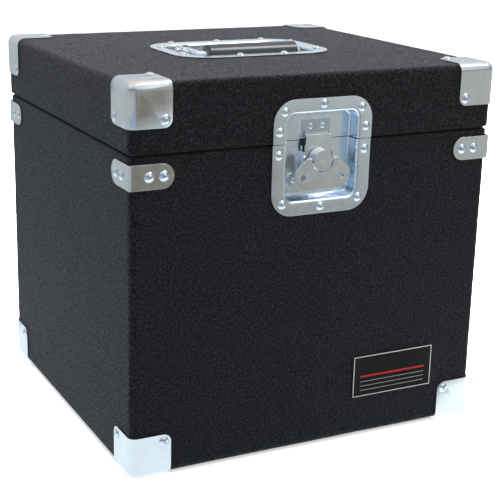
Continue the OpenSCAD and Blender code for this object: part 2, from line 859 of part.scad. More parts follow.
module base_carpet() {
    color(black_carpet)
        difference() {
            under_plate();
            pressed_corners();
            corner_rivet_holes_body();
        }
}

// A foam sheet inside, clear of the rivets' tails
module foam_sheet(w, d, z) {
    translate([-w/2 + skin + pad_gap, -d/2 + skin + pad_gap, z])
        cube([w - 2*skin - 2*pad_gap, d - 2*skin - 2*pad_gap, pad_t]);
}

module base_pad() {
    color(grey_foam)
        difference() {
            foam_sheet(case_w, case_d, skin);
            for (sx = [-1, 1], sy = [-1, 1])
                at_bottom_corner(sx, sy) flat_leaf_rivet()
                    shank_hole(tail_d + 2, skin + pad_t + far);
        }
}

module lid_top_panel() {
    color(bare_ply)
        difference() {
            intersection() {
                lid_ply_box(lid_z);
                level_slab(lid_ceiling, case_h);
            }
            corner_rivet_holes_lid();
            handle_cut();
        }
}

module lid_front_panel() {
    color(bare_ply)
        difference() {
            intersection() {
                lid_ply_box(lid_z);
                translate([-case_w, lid_front, lid_z]) cube([2*case_w, skin, lid_ceiling - lid_z]);
            }
            corner_rivet_holes_lid();
            lid_latch_cut();
        }
}

module lid_back_panel() {
    color(bare_ply)
        difference() {
            intersection() {
                lid_ply_box(lid_z);
                translate([-case_w, lid_back - skin, lid_z]) cube([2*case_w, skin, lid_ceiling - lid_z]);
            }
            corner_rivet_holes_lid();
            hinge_rivet_spots_lid() shank_hole(small_shank_d + 2*rivet_fit, skin + far);
        }
}

module lid_side_panel(side) {
    color(bare_ply)
        difference() {
            translate([side > 0 ? lid_w/2 - skin : -lid_w/2 + carpet_t, lid_front + skin, lid_z])
                cube([ply_t, lid_d - 2*skin, lid_ceiling - lid_z]);
            corner_rivet_holes_lid();
        }
}

module lid_left_panel() lid_side_panel(-1);
module lid_right_panel() lid_side_panel(1);

module lid_carpet() {
    color(black_carpet)
        difference() {
            soft_box(lid_w, lid_d, lid_z, case_h, edge_r, rim_r, edge_r);
            lid_ply_box(lid_z - 1);
            corner_rivet_holes_lid();
            lid_latch_cut();
            handle_cut();
            hinge_rivet_spots_lid() shank_hole(small_shank_d + 2*rivet_fit, skin + far);
        }
}

module lid_pad() {
    color(grey_foam)
        difference() {
            foam_sheet(lid_w, lid_d, lid_ceiling - pad_t);
            translate([0, grip_dish_y, lid_ceiling - pad_t - 1])
                linear_extrude(pad_t + 2)
                    round_rect(grip_dish_w, grip_dish_d, grip_dish_r);
            for (sx = [-1, 1], sy = [-1, 1])
                at_top_corner(sx, sy) flat_leaf_rivet()
                    shank_hole(tail_d + 2, sheet_t + skin + pad_t + far);
        }
}

// ---------- latch ----------

// The rotor's own frame: outwards is +z, up is +y, children start this far behind the carpet
module at_rotor(behind) {
    translate([0, body_front + behind, rotor_z]) rotate([90, 0, 0]) children();
}

module base_plate_rivet_spots() {
    for (sx = [-1, 1])
        at_rotor(plate_in) translate([sx*plate_ear_x, -plate_ear_drop, 0]) children();
}

module latch_base_plate() {
    color(plated_steel)
        difference() {
            union() {
                at_rotor(floor_in) linear_extrude(plate_t) {
                    translate([-plate_half_w + plate_step, -plate_low])
                        square([2*(plate_half_w - plate_step), plate_low + plate_high]);
                    translate([-plate_half_w, -plate_low])
                        square([2*plate_half_w, plate_low]);
                    for (sx = [-1, 1])
                        translate([sx*plate_ear_x, -plate_ear_drop])
                            circle(plate_ear_r);
                }
                // the guides that the strap slides between
                for (sx = [-1, 1])
                    translate([sx*(strap_w/2 + slide_gap + plate_t/2), body_front + (guide_in + floor_in)/2,
                               rotor_z - 1])
                        cube([plate_t, floor_in - guide_in, guide_h], center = true);
            }
            at_rotor(floor_in) cylinder(r = journal_d/2 + run_gap, h = 3*plate_t, center = true);
            base_plate_rivet_spots() shank_hole(small_shank_d, 2*plate_t);
        }
}

module latch_rotor() {
    color(plated_steel)
        difference() {
            union() {
                at_rotor(cam_in) cylinder(d1 = cap_back_d, d2 = cap_d, h = cam_in + cap_proud, $fn = 96);
                at_rotor(cam_out) translate([0, -cam_offset, 0]) cylinder(d = cam_d, h = cam_t + eps);
                at_rotor(journal_in) cylinder(d = journal_d, h = journal_in - cam_out + eps);
            }
            // hole for the wing's pin
            translate([0, body_front, rotor_z]) rotate([0, 90, 0])
                cylinder(d = pin_d, h = 2*cap_back_d, center = true);
            // groove for the retaining ring
            at_rotor(ring_in + ring_t)
                difference() {
                    cylinder(d = journal_d + 2, h = ring_t);
                    cylinder(d = journal_d - 2*ring_groove, h = ring_t);
                }
            // slot in the face
            at_rotor(-cap_proud) cube([cap_d*0.45, 1.6, 1.2], center = true);
        }
}

module rotor_retaining_ring() {
    color(bright_rivet)
        at_rotor(ring_in + ring_t)
            difference() {
                cylinder(d = journal_d + 2*ring_w, h = ring_t);
                translate([0, 0, -1]) cylinder(d = journal_d - 2*ring_groove, h = ring_t + 2);
                translate([-journal_d*0.35, -journal_d - ring_w, -1])
                    cube([journal_d*0.7, journal_d + ring_w, ring_t + 2]);
            }
}

module wing_pin() {
    color(bright_rivet)
        translate([0, body_front, rotor_z]) rotate([0, 90, 0])
            cylinder(d = pin_d, h = 2*pin_end, center = true);
}

module wing_plate_outline() {
    outline = [
        [wing_shoulder, wing_top, wing_corner_r],
        [wing_w/2, wing_lobe_z + wing_lobe_up, wing_lobe_r],
        [wing_w/2 - wing_taper, wing_lobe_z - wing_lobe_down, wing_lobe_r],
        [wing_foot, -wing_reach, wing_corner_r], [-wing_foot, -wing_reach, wing_corner_r],
        [-wing_w/2 + wing_taper, wing_lobe_z - wing_lobe_down, wing_lobe_r],
        [-wing_w/2, wing_lobe_z + wing_lobe_up, wing_lobe_r],
        [-wing_shoulder, wing_top, wing_corner_r], [-notch_r, wing_top, 0], [-notch_r, 0, 0],
        for (i = [1:15]) [notch_r*cos(180 + 12*i), notch_r*sin(180 + 12*i), 0],
        [notch_r, wing_top, 0]
    ];
    polygon(rounded_outline(outline));
}

module latch_wing() {
    color(plated_steel)
        difference() {
            union() {
                at_rotor(-wing_proud) linear_extrude(wing_t) wing_plate_outline();
                // the ears that hold the pin
                for (sx = [-1, 1])
                    translate([sx*(wing_ear_x + wing_t/2), body_front, rotor_z])
                        rotate([0, 90, 0]) {
                            cylinder(r = ear_r, h = wing_t, center = true);
                            translate([0, -(wing_proud + wing_t/2)/2, 0])
                                cube([2*ear_r, wing_proud + wing_t/2, wing_t], center = true);
                        }
            }
            at_rotor(-wing_proud - wing_t/2) for (sx = [-1, 1])
                translate([sx*wing_hole_x, wing_hole_z, 0])
                    cylinder(d = wing_hole_d, h = 2*wing_t, center = true);
            translate([0, body_front, rotor_z]) rotate([0, 90, 0])
                cylinder(r = pin_d/2 + run_gap, h = wing_w, center = true);
        }
}

module latch_hook() {
    strap_top = seam_z + hook_rise;
    color(plated_steel)
        difference() {
            union() {
                translate([-strap_w/2, body_front + strap_in, rotor_z - strap_below])
                    cube([strap_w, strap_t, strap_below + (rotor_drop - 3)]);
                translate([-hook_w/2, body_front + strap_in, rotor_z])
                    cube([hook_w, strap_t, strap_top - rotor_z]);
                translate([-hook_w/2, body_front + strap_in, strap_top - strap_t])
                    cube([hook_w, hook_back - strap_in, strap_t]);
            }
            // window for the cam
            translate([-window_w/2, body_front + strap_in - 1, rotor_z - cam_offset - window_h/2])
                cube([window_w, strap_t + 2, window_h]);
        }
}

module keeper_rivet_spots() {
    for (sx = [-1, 1])
        translate([sx*keeper_rivet_x, lid_front + floor_in - plate_t, keeper_rivet_z])
            rotate([90, 0, 0]) children();
}

module latch_keeper() {
    back = lid_front + floor_in;
    color(plated_steel)
        difference() {
            union() {
                translate([-keeper_w/2, back - plate_t, keeper_z])
                    cube([keeper_w, plate_t, seam_z + keeper_rise - keeper_z]);
                translate([-hook_w/2, body_front + lip_in, keeper_z])
                    cube([hook_w, back - body_front - lip_in, plate_t]);
                translate([-hook_w/2, body_front + lip_in, keeper_z])
                    cube([hook_w, lip_t, seam_z + lip_rise - keeper_z]);
            }
            keeper_rivet_spots() shank_hole(small_shank_d, 2*plate_t);
        }
}

// ---------- handle ----------

// The handle dish's own frame: its flange lies on z = 0
module at_grip_dish() {
    translate([0, grip_dish_y, case_h]) children();
}

module handle_cut() {
    at_grip_dish() {
        dish_cut(grip_open_w, grip_open_d, grip_open_r, dish_rim_r);
        dish_rivet_spots(grip_dish_rivets) shank_hole(shank_d + 2*rivet_fit, skin + far);
    }
}

module handle_dish() {
    color(plated_steel)
        difference() {
            at_grip_dish()
                dish(grip_dish_w, grip_dish_d, grip_dish_r, grip_open_w, grip_open_d, grip_open_r,
                     grip_dish_depth, dish_rim_r, dish_floor_r);
            at_grip_dish() dish_rivet_spots(grip_dish_rivets) shank_hole(shank_d, 3);
            bracket_rivet_spots() shank_hole(small_shank_d, bracket_t + 2*sheet_t);
        }
}

module handle_dish_rivets() {
    at_grip_dish() dish_rivet_spots(grip_dish_rivets)
        rivet(dish_head_d, head_h, shank_d, sheet_t + skin);
}

// One bracket: an upright plate with the bail's bore, a foot, a tab that the bail rests
// on and a tab that stops it when it is raised
module handle_bracket(side) {
    foot_x = bracket_x - foot_l;
    tab_top = grip_z - bail_d/2 - slide_gap;
    color(plated_steel)
        difference() {
            mirror([side < 0 ? 1 : 0, 0, 0]) {
                translate([bracket_x, bail_y - bracket_half_w, grip_floor_z])
                    cube([bracket_t, bracket_half_w + bracket_back,
                          grip_z + bracket_rise - grip_floor_z]);
                translate([bail_arm_x - bail_d/2, bail_y + bracket_back - stop_t, grip_z + 2])
                    cube([bracket_x + bracket_t - bail_arm_x + bail_d/2, stop_t, bracket_rise - 2]);
                translate([foot_x, bail_y - stop_from - stop_w - foot_front, grip_floor_z])
                    cube([foot_l + bracket_t, stop_from + stop_w + foot_front, bracket_t]);
                translate([bracket_x, bail_y - stop_from - stop_w, grip_floor_z])
                    cube([bracket_t, stop_from + stop_w, tab_top - grip_floor_z]);
                translate([bail_arm_x - bail_d/2, bail_y - stop_from - stop_w, tab_top - bracket_t])
                    cube([bracket_x - bail_arm_x + bail_d/2 + bracket_t, stop_w, bracket_t]);
            }
            translate([side*bracket_x, bail_y, grip_z]) rotate([0, 90, 0])
                cylinder(r = bail_d/2 + run_gap, h = 4*bracket_t, center = true);
            bracket_rivet_spots() shank_hole(small_shank_d, 2*bracket_t);
        }
}

module handle_bracket_left() handle_bracket(-1);
module handle_bracket_right() handle_bracket(1);

module bracket_rivet_spots() {
    for (sx = [-1, 1], back = [foot_rivet_back, stop_from + stop_w])
        translate([sx*(bracket_x - foot_rivet_in), bail_y - back, grip_floor_z + bracket_t])
            children();
}

module handle_bracket_rivets() {
    bracket_rivet_spots() rivet(small_head_d, small_head_h, small_shank_d, bracket_t + sheet_t);
}

// One half of the bail, on the side x > 0, with its pivot axis on y = 0
module bail_half() {
    rod = bail_d/2;
    bend = bail_bend_r;
    translate([-eps, -bail_reach, 0]) rotate([0, 90, 0])
        cylinder(r = rod, h = grip_len/2 + 2*eps);
    translate([grip_len/2, -bail_reach + bend, 0]) rotate([0, 0, -90])
        rotate_extrude(angle = 90) translate([bend, 0]) circle(rod);
    translate([bail_arm_x, -bail_reach + bend - eps, 0]) rotate([-90, 0, 0])
        cylinder(r = rod, h = bail_reach - 2*bend + 2*eps);
    translate([bail_arm_x + bend, -bend, 0]) rotate([0, 0, 90])
        rotate_extrude(angle = 90) translate([bend, 0]) circle(rod);
    translate([bail_arm_x + bend - eps, 0, 0]) rotate([0, 90, 0])
        cylinder(r = rod, h = bail_end_x - bail_arm_x - bend + eps);
}

module handle_bail() {
    color(plated_steel)
        translate([0, bail_y, grip_z]) {
            bail_half();
            mirror([1, 0, 0]) bail_half();
        }
}

module handle_grip() {
    edge = 1.2;
    color(black_rubber)
        translate([0, grip_y, grip_z]) rotate([0, 90, 0])
            difference() {
                union() {
                    cylinder(d = grip_d, h = grip_len - 2*edge, center = true);
                    for (end = [0, 1]) mirror([0, 0, end])
                        translate([0, 0, grip_len/2 - edge])
                            cylinder(d1 = grip_d, d2 = grip_d - 2*edge, h = edge);
                }
                cylinder(d = bail_d, h = grip_len + 2, center = true);
            }
}

// ---------- hinges ----------

module at_hinge(side) {
    translate([side*hinge_x, hinge_axis_y, hinge_axis_z]) children();
}

// A leaf on the plane y = plane, upwards (up = 1) or downwards, with every second knuckle
module hinge_leaf_solid(plane, up, first) {
    difference() {
        union() {
            translate([-hinge_w/2, plane - hinge_axis_y, up > 0 ? hinge_clear : -hinge_leaf])
                cube([hinge_w, hinge_t, hinge_leaf - hinge_clear]);
            for (i = [first : 2 : knuckles - 1])
                translate([-hinge_w/2 + i*knuckle_w + knuckle_gap/2, 0, 0]) {
                    rotate([0, 90, 0]) cylinder(r = knuckle_r, h = knuckle_w - knuckle_gap);
                    translate([0, plane - hinge_axis_y, up > 0 ? 0 : -hinge_clear - eps])
                        cube([knuckle_w - knuckle_gap, hinge_t, hinge_clear + eps]);
                }
        }
        rotate([0, 90, 0])
            cylinder(r = hinge_pin_d/2 + (up > 0 ? run_gap : 0), h = 2*hinge_w, center = true);
    }
}

module hinge_leaf_spots(side, plane, up) {
    for (sx = [-1, 1], row = [0, 1])
        at_hinge(side)
            translate([sx*(hinge_w/2 - hinge_rivet_in), plane + hinge_t - hinge_axis_y,
                       up*(hinge_leaf - hinge_rivet_in - hinge_rivet_pitch*row)])
                rotate([-90, 0, 0]) children();
}

module hinge_rivet_spots_body() {
    for (side = [-1, 1]) hinge_leaf_spots(side, body_back, -1) children();
}

module hinge_rivet_spots_lid() {
    for (side = [-1, 1]) hinge_leaf_spots(side, lid_back, 1) children();
}

module hinge_body_leaf(side) {
    color(plated_steel)
        difference() {
            at_hinge(side) hinge_leaf_solid(body_back, -1, 0);
            hinge_leaf_spots(side, body_back, -1) shank_hole(small_shank_d, 2*hinge_t);
        }
}

module hinge_lid_leaf(side) {
    color(plated_steel)
        difference() {
            at_hinge(side) hinge_leaf_solid(lid_back, 1, 1);
            hinge_leaf_spots(side, lid_back, 1) shank_hole(small_shank_d, 2*hinge_t);
        }
}

module hinge_left_body_leaf() hinge_body_leaf(-1);
module hinge_right_body_leaf() hinge_body_leaf(1);
module hinge_left_lid_leaf() hinge_lid_leaf(-1);
module hinge_right_lid_leaf() hinge_lid_leaf(1);

module hinge_pin(side) {
    color(bright_rivet)
        at_hinge(side) rotate([0, 90, 0])
            cylinder(d = hinge_pin_d, h = hinge_w, center = true);
}

module hinge_left_pin() hinge_pin(-1);
module hinge_right_pin() hinge_pin(1);

module hinge_body_rivets() {
    hinge_rivet_spots_body() rivet(small_head_d, small_head_h, small_shank_d, hinge_t + skin);
}

module hinge_lid_rivets() {
    hinge_rivet_spots_lid() rivet(small_head_d, small_head_h, small_shank_d, hinge_t + skin);
}

// ---------- name plate ----------

module label_plate() {
    color(black_gloss)
        translate([label_x, body_front, label_z]) rotate([90, 0, 0])
            linear_extrude(label_t)
                round_rect(label_w, label_h, 1);
}

// ---------- assembly ----------

base_panel();
front_panel();
back_panel();
left_panel();
right_panel();
body_carpet();
base_carpet();
base_pad();
corner_bottom_front_left();
corner_bottom_front_right();
corner_bottom_back_left();
corner_bottom_back_right();
bottom_corner_rivets();
brace_front_left();
brace_front_right();
brace_back_left();
brace_back_right();
brace_rivets();
latch_dish_lower();
latch_dish_lower_rivets();
latch_base_plate();
label_plate();
hinge_left_body_leaf();
hinge_right_body_leaf();
hinge_left_pin();
hinge_right_pin();
hinge_body_rivets();
latch_rotor();
rotor_retaining_ring();
wing_pin();
latch_wing();
latch_hook();
lid_top_panel();
lid_front_panel();
lid_back_panel();
lid_left_panel();
lid_right_panel();
lid_carpet();
lid_pad();
corner_top_front_left();
corner_top_front_right();
corner_top_back_left();
corner_top_back_right();
top_corner_rivets();
latch_dish_upper();
latch_dish_upper_rivets();
latch_keeper();
handle_dish();
handle_dish_rivets();
handle_bracket_left();
handle_bracket_right();
handle_bracket_rivets();
hinge_left_lid_leaf();
hinge_right_lid_leaf();
hinge_lid_rivets();
handle_bail();
handle_grip();
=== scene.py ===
# %% [markdown]
# # A record carrying case
# The object is a ply box covered with black carpet, with riveted steel corners, a butterfly
# latch in a pressed steel dish and a lifting handle in a second dish on the lid.
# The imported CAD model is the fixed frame: it gives every size, and each piece that is made
# here takes the place of one of its nodes or dresses it with a finish.

# %% Load the frame
import math

import bmesh
import bpy
from mathutils import Matrix, Vector


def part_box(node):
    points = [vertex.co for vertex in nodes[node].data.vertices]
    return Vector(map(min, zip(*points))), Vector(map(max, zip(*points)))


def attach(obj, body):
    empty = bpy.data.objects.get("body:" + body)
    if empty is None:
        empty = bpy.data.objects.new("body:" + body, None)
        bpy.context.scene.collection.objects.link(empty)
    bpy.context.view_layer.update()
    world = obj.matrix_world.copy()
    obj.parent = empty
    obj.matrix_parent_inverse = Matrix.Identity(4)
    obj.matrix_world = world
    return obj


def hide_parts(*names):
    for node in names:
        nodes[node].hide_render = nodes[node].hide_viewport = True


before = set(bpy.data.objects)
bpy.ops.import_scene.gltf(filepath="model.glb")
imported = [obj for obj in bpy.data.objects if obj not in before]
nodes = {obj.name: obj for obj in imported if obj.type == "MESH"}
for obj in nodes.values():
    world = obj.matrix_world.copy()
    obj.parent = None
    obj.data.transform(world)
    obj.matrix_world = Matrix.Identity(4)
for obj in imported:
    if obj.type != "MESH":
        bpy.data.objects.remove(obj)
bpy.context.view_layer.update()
mm = 0.001

# %% [markdown]
# ## Camera
# The place, turn and lens of the camera were worked out from the straight edges of the box.
# The small shift keeps the picture's own framing without turning the camera, which would
# make the upright edges lean.

# %% Camera
camera_data = bpy.data.cameras.new("camera")
camera = bpy.data.objects.new("camera", camera_data)
bpy.context.scene.collection.objects.link(camera)
bpy.context.scene.camera = camera
camera.location = (-0.56415, -1.11861, 0.52874)
camera.rotation_euler = [math.radians(a) for a in (73.7298, -0.9603, -25.6643)]
camera_data.sensor_width = 36
camera_data.lens = 87.01
camera_data.shift_x = 0.0676
camera_data.shift_y = -0.0216
camera_data.clip_start = 0.05
print("lens", camera_data.lens, "mm")

# %% [markdown]
# ## Helpers for modelling
# Blender's own modelling tools act on what is selected. So each piece starts from a cleared
# selection, and faces, edges or corners are then picked by a rule about their place.

# %% Selecting and editing
def clear_selection():
    if bpy.context.mode != "OBJECT":
        bpy.ops.object.mode_set(mode="OBJECT")
    bpy.ops.object.select_all(action="DESELECT")


def work_on(piece):
    clear_selection()
    piece.select_set(True)
    bpy.context.view_layer.objects.active = piece


def start_editing(piece, kind):
    work_on(piece)
    bpy.ops.object.mode_set(mode="EDIT")
    bpy.ops.mesh.select_mode(type=kind)
    bpy.ops.mesh.select_all(action="DESELECT")


def pick(piece, kind, rule):
    """Selects the corners, edges or faces for which the rule holds."""
    bpy.ops.mesh.select_mode(type=kind)
    bpy.ops.mesh.select_all(action="DESELECT")
    mesh = bmesh.from_edit_mesh(piece.data)
    mesh.normal_update()
    sets = {"VERT": mesh.verts, "EDGE": mesh.edges, "FACE": mesh.faces}
    for part in [part for part in sets[kind] if rule(part)]:
        part.select = True
    mesh.select_flush_mode()
    bmesh.update_edit_mesh(piece.data)


def stop_editing():
    bpy.ops.object.mode_set(mode="OBJECT")


def fix_place(piece):
    """Puts the object's place and turn into its mesh, so that it sits at the origin."""
    work_on(piece)
    bpy.ops.object.transform_apply(location=True, rotation=True, scale=True)


def new_box(name, low, high):
    """A box between two corners given in mm."""
    clear_selection()
    middle = [(a + b) / 2 * mm for a, b in zip(low, high)]
    size = [(b - a) * mm for a, b in zip(low, high)]
    bpy.ops.mesh.primitive_cube_add(size=1, location=middle)
    piece = bpy.context.active_object
    piece.name = piece.data.name = name
    piece.scale = size
    fix_place(piece)
    return piece


def use_modifier(piece, kind, **settings):
    work_on(piece)
    modifier = piece.modifiers.new(kind.lower(), kind)
    for key, value in settings.items():
        setattr(modifier, key, value)
    bpy.ops.object.modifier_apply(modifier=modifier.name)


def smooth(piece, degrees=35):
    """Smooth shading up to an angle; large flat faces keep their own normal."""
    work_on(piece)
    bpy.ops.object.shade_smooth_by_angle(angle=math.radians(degrees))
    use_modifier(piece, "WEIGHTED_NORMAL", weight=100, keep_sharp=True)


def soften_edges(piece, width, degrees=40, segments=2):
    """Rounds the sharp edges a little, as tumbling and plating do."""
    use_modifier(piece, "BEVEL", width=width * mm, segments=segments, limit_method="ANGLE",
                 angle_limit=math.radians(degrees), miter_outer="MITER_ARC")


def arc_steps(radius, turn_from, turn_to, count):
    """Steps (inwards, up) in mm along an arc; 0 degrees points inwards and 90 up."""
    places = []
    for i in range(count + 1):
        a = math.radians(turn_from + (turn_to - turn_from) * i / count)
        places.append((radius * math.cos(a), radius * math.sin(a)))
    return [(q[0] - p[0], q[1] - p[1]) for p, q in zip(places, places[1:])]


def press(steps):
    """Presses the picked face step by step: (inwards, up) in mm."""
    for inwards, up in steps:
        if inwards > 1e-6:
            bpy.ops.mesh.inset(thickness=inwards * mm, depth=up * mm)
        else:
            bpy.ops.mesh.extrude_region_move(
                TRANSFORM_OT_translate={"value": (0, 0, up * mm)})


def triangles(piece):
    return sum(len(face.vertices) - 2 for face in piece.data.polygons)


def belongs(piece, body, slot, *stands_for):
    """Ties a finished piece to its body and hides the nodes that it stands for; the slot is
    not used.
    """
    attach(piece, body)
    if stands_for:
        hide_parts(*stands_for)
    print(f"{piece.name}: {triangles(piece)} triangles, rides on {body}")


# %% [markdown]
# ## Finishes
# Each finish is built from noise on Object coordinates, so that it keeps its real size on
# every piece. Needle-felt carpet is nearly black, with short fibres that catch the light at
# a flat angle: a weak gloss and a thin sheen do that. The fibres themselves are two scales
# of bump, and their tips are a little paler.

# %% Helpers for finishes
def new_finish(name):
    finish = bpy.data.materials.new(name)
    finish.use_nodes = True
    tree = finish.node_tree
    shader = next(n for n in tree.nodes if n.type == "BSDF_PRINCIPLED")
    places = tree.nodes.new("ShaderNodeTexCoord").outputs["Object"]
    return finish, tree, shader, places


def noise(tree, places, per_metre, detail=3.0, roughness=0.5, stretch=(1, 1, 1)):
    mapping = tree.nodes.new("ShaderNodeMapping")
    mapping.inputs["Scale"].default_value = stretch
    tree.links.new(places, mapping.inputs["Vector"])
    grain = tree.nodes.new("ShaderNodeTexNoise")
    grain.inputs["Scale"].default_value = per_metre
    grain.inputs["Detail"].default_value = detail
    grain.inputs["Roughness"].default_value = roughness
    tree.links.new(mapping.outputs["Vector"], grain.inputs["Vector"])
    return grain.outputs["Fac"]


def ramp(tree, value, stops):
    """Turns a value into a colour or a grey through (position, colour) stops."""
    node = tree.nodes.new("ShaderNodeValToRGB")
    node.color_ramp.elements[0].position = stops[0][0]
    node.color_ramp.elements[1].position = stops[-1][0]
    for place, _ in stops[1:-1]:
        node.color_ramp.elements.new(place)
    for element, (_, colour) in zip(node.color_ramp.elements, stops):
        element.color = (*colour, 1)
    tree.links.new(value, node.inputs["Fac"])
    return node.outputs["Color"]


def grey(level):
    return (level, level, level)


def bump(tree, shader, height, distance, strength=1.0, below=None):
    node = tree.nodes.new("ShaderNodeBump")
    node.inputs["Strength"].default_value = strength
    node.inputs["Distance"].default_value = distance * mm
    tree.links.new(height, node.inputs["Height"])
    if below is not None:
        tree.links.new(below, node.inputs["Normal"])
    tree.links.new(node.outputs["Normal"], shader.inputs["Normal"])
    return node.outputs["Normal"]


def mix_colours(tree, factor, a, b):
    """Mixes two colours; each is a socket or three numbers."""
    node = tree.nodes.new("ShaderNodeMix")
    node.data_type = "RGBA"
    colours = [i for i in node.inputs if i.type == "RGBA"]
    tree.links.new(factor, node.inputs[0])
    for socket, colour in zip(colours, (a, b)):
        if isinstance(colour, tuple):
            socket.default_value = (*colour, 1)
        else:
            tree.links.new(colour, socket)
    return next(o for o in node.outputs if o.type == "RGBA")


def spread(tree, value, low, high):
    """Runs from 0 at low to 1 at high."""
    node = tree.nodes.new("ShaderNodeMapRange")
    node.inputs["From Min"].default_value = low
    node.inputs["From Max"].default_value = high
    tree.links.new(value, node.inputs["Value"])
    return node.outputs["Result"]


# %% Carpet
def make_carpet():
    finish, tree, shader, places = new_finish("needle_felt_carpet")
    fibres = noise(tree, places, 1300, detail=3, roughness=0.65)
    clumps = noise(tree, places, 500, detail=3)
    mixed = tree.nodes.new("ShaderNodeMath")
    mixed.operation = "MULTIPLY_ADD"
    tree.links.new(fibres, mixed.inputs[0])
    mixed.inputs[1].default_value = 0.6
    tree.links.new(clumps, mixed.inputs[2])
    colour = ramp(tree, mixed.outputs[0], [(0.62, (0.0022, 0.0021, 0.0025)),
                                           (0.82, (0.0046, 0.0044, 0.0052)),
                                           (1.0, (0.020, 0.019, 0.022))])
    tree.links.new(colour, shader.inputs["Base Color"])
    gloss = ramp(tree, mixed.outputs[0], [(0.64, grey(0.88)), (0.94, grey(0.48))])
    tree.links.new(gloss, shader.inputs["Roughness"])
    shader.inputs["Specular IOR Level"].default_value = 0.16
    shader.inputs["Sheen Weight"].default_value = 0.06
    shader.inputs["Sheen Roughness"].default_value = 0.38
    shader.inputs["Sheen Tint"].default_value = (0.80, 0.82, 0.90, 1)
    low = bump(tree, shader, clumps, 1.6, 0.9)
    bump(tree, shader, fibres, 1.0, 0.9, low)
    return finish


carpet = make_carpet()
print("finish", carpet.name)

# %% [markdown]
# The steel is thin sheet with a bright zinc plating. It is a metal with a soft, slightly
# uneven reflection: the roughness wanders a little, a fine grain runs over it, and shallow
# waves from the press bend what it mirrors. The keeper's steel is given a darker colour than
# the rest.

# %% Steel finishes
def make_plated(name, colour, rough_low, rough_high, wave, grain_depth):
    finish, tree, shader, places = new_finish(name)
    shader.inputs["Metallic"].default_value = 1
    patches = noise(tree, places, 60, detail=3)
    tint = ramp(tree, patches, [(0.3, tuple(c * 0.93 for c in colour)), (0.7, colour)])
    tree.links.new(tint, shader.inputs["Base Color"])
    spots = noise(tree, places, 90, detail=4, roughness=0.6)
    rough = ramp(tree, spots, [(0.3, grey(rough_low)), (0.75, grey(rough_high))])
    tree.links.new(rough, shader.inputs["Roughness"])
    low = bump(tree, shader, noise(tree, places, 28, detail=1), wave, 0.5)
    grain = noise(tree, places, 900, detail=2, stretch=(1, 1, 0.08))
    bump(tree, shader, grain, grain_depth, 0.3, low)
    return finish


sheet_steel = make_plated("zinc_plated_sheet", (0.75, 0.73, 0.69), 0.20, 0.28, 0.8, 0.006)
dish_steel = make_plated("pressed_dish_steel", (0.86, 0.89, 0.91), 0.22, 0.30, 0.8, 0.006)
# The latch dishes' steel is the dish steel with a painted blue reflection on its walls.
recess_steel_painted_reflection = make_plated("recess_steel_painted_reflection", (0.86, 0.89, 0.91), 0.22, 0.30, 0.8, 0.006)
keeper_steel = make_plated("keeper_steel", (0.66, 0.67, 0.66), 0.22, 0.32, 0.4, 0.006)
latch_steel = make_plated("latch_steel", (0.87, 0.87, 0.85), 0.22, 0.32, 0.4, 0.006)
rivet_steel = make_plated("rivet_nickel", (0.76, 0.76, 0.76), 0.12, 0.20, 0.2, 0.004)
print("steel finishes", sheet_steel.name, dish_steel.name, recess_steel_painted_reflection.name,
      keeper_steel.name, latch_steel.name, rivet_steel.name)

# %% [markdown]
# The grip is glossy black rubber, the pads are dull grey foam and the box is birch ply. The
# ply is painted black where the rims of body and lid meet. The walls of the latch dish
# mirror each other, and a painted reflection stands in for that: a blue band on the walls
# makes them bluer than its flange and its floor.

# %% Rubber, foam and ply
def make_plain(name, dark, light, per_metre, rough, depth, stretch=(1, 1, 1), specular=0.5):
    finish, tree, shader, places = new_finish(name)
    grain = noise(tree, places, per_metre, detail=4, roughness=0.6, stretch=stretch)
    tree.links.new(ramp(tree, grain, [(0.3, dark), (0.7, light)]), shader.inputs["Base Color"])
    shader.inputs["Roughness"].default_value = rough
    shader.inputs["Specular IOR Level"].default_value = specular
    bump(tree, shader, grain, depth, 0.5)
    return finish


def tint_between(finish, axis, low, high, colour):
    """Colours a finish between two levels in metres along an axis."""
    tree = finish.node_tree
    shader = next(n for n in tree.nodes if n.type == "BSDF_PRINCIPLED")
    bare = shader.inputs["Base Color"].links[0].from_socket
    apart = tree.nodes.new("ShaderNodeSeparateXYZ")
    places = next(n for n in tree.nodes if n.type == "TEX_COORD").outputs["Object"]
    tree.links.new(places, apart.inputs[0])
    inside = tree.nodes.new("ShaderNodeMath")
    inside.operation = "COMPARE"
    tree.links.new(apart.outputs[axis], inside.inputs[0])
    inside.inputs[1].default_value = (low + high) / 2
    inside.inputs[2].default_value = (high - low) / 2
    painted = mix_colours(tree, inside.outputs[0], bare, colour)
    tree.links.new(painted, shader.inputs["Base Color"])


BLACK_RIMS = (0.297, 0.313)
DISH_WALL_PAINTED_REFLECTION = (-0.1774, -0.1664)
rubber = make_plain("black_rubber", (0.012, 0.012, 0.013), (0.020, 0.020, 0.022), 500,
                    0.25, 0.03, specular=0.7)
foam = make_plain("grey_foam", (0.030, 0.030, 0.033), (0.060, 0.060, 0.066), 700,
                  0.95, 0.6, specular=0.2)
ply_face = make_plain("birch_ply", (0.46, 0.33, 0.20), (0.66, 0.50, 0.33), 55, 0.55, 0.08,
                      stretch=(0.12, 1, 1))
tint_between(ply_face, "Z", *BLACK_RIMS, (0.004, 0.004, 0.004))
# The blue band on the latch dish's walls is a painted reflection of the walls mirroring each
# other.
tint_between(recess_steel_painted_reflection, "Y", *DISH_WALL_PAINTED_REFLECTION, (0.60, 0.79, 0.98))
print("finishes", rubber.name, foam.name, ply_face.name)

# %% [markdown]
# ## Carpeted box
# The carpet is glued round the ply, so it follows the box, with soft edges and a rolled rim
# at the seam. A box is bevelled, its large faces get a fine grid, and a very shallow
# displacement makes the surface as uneven as felt is. A cutter then opens it for the dishes.

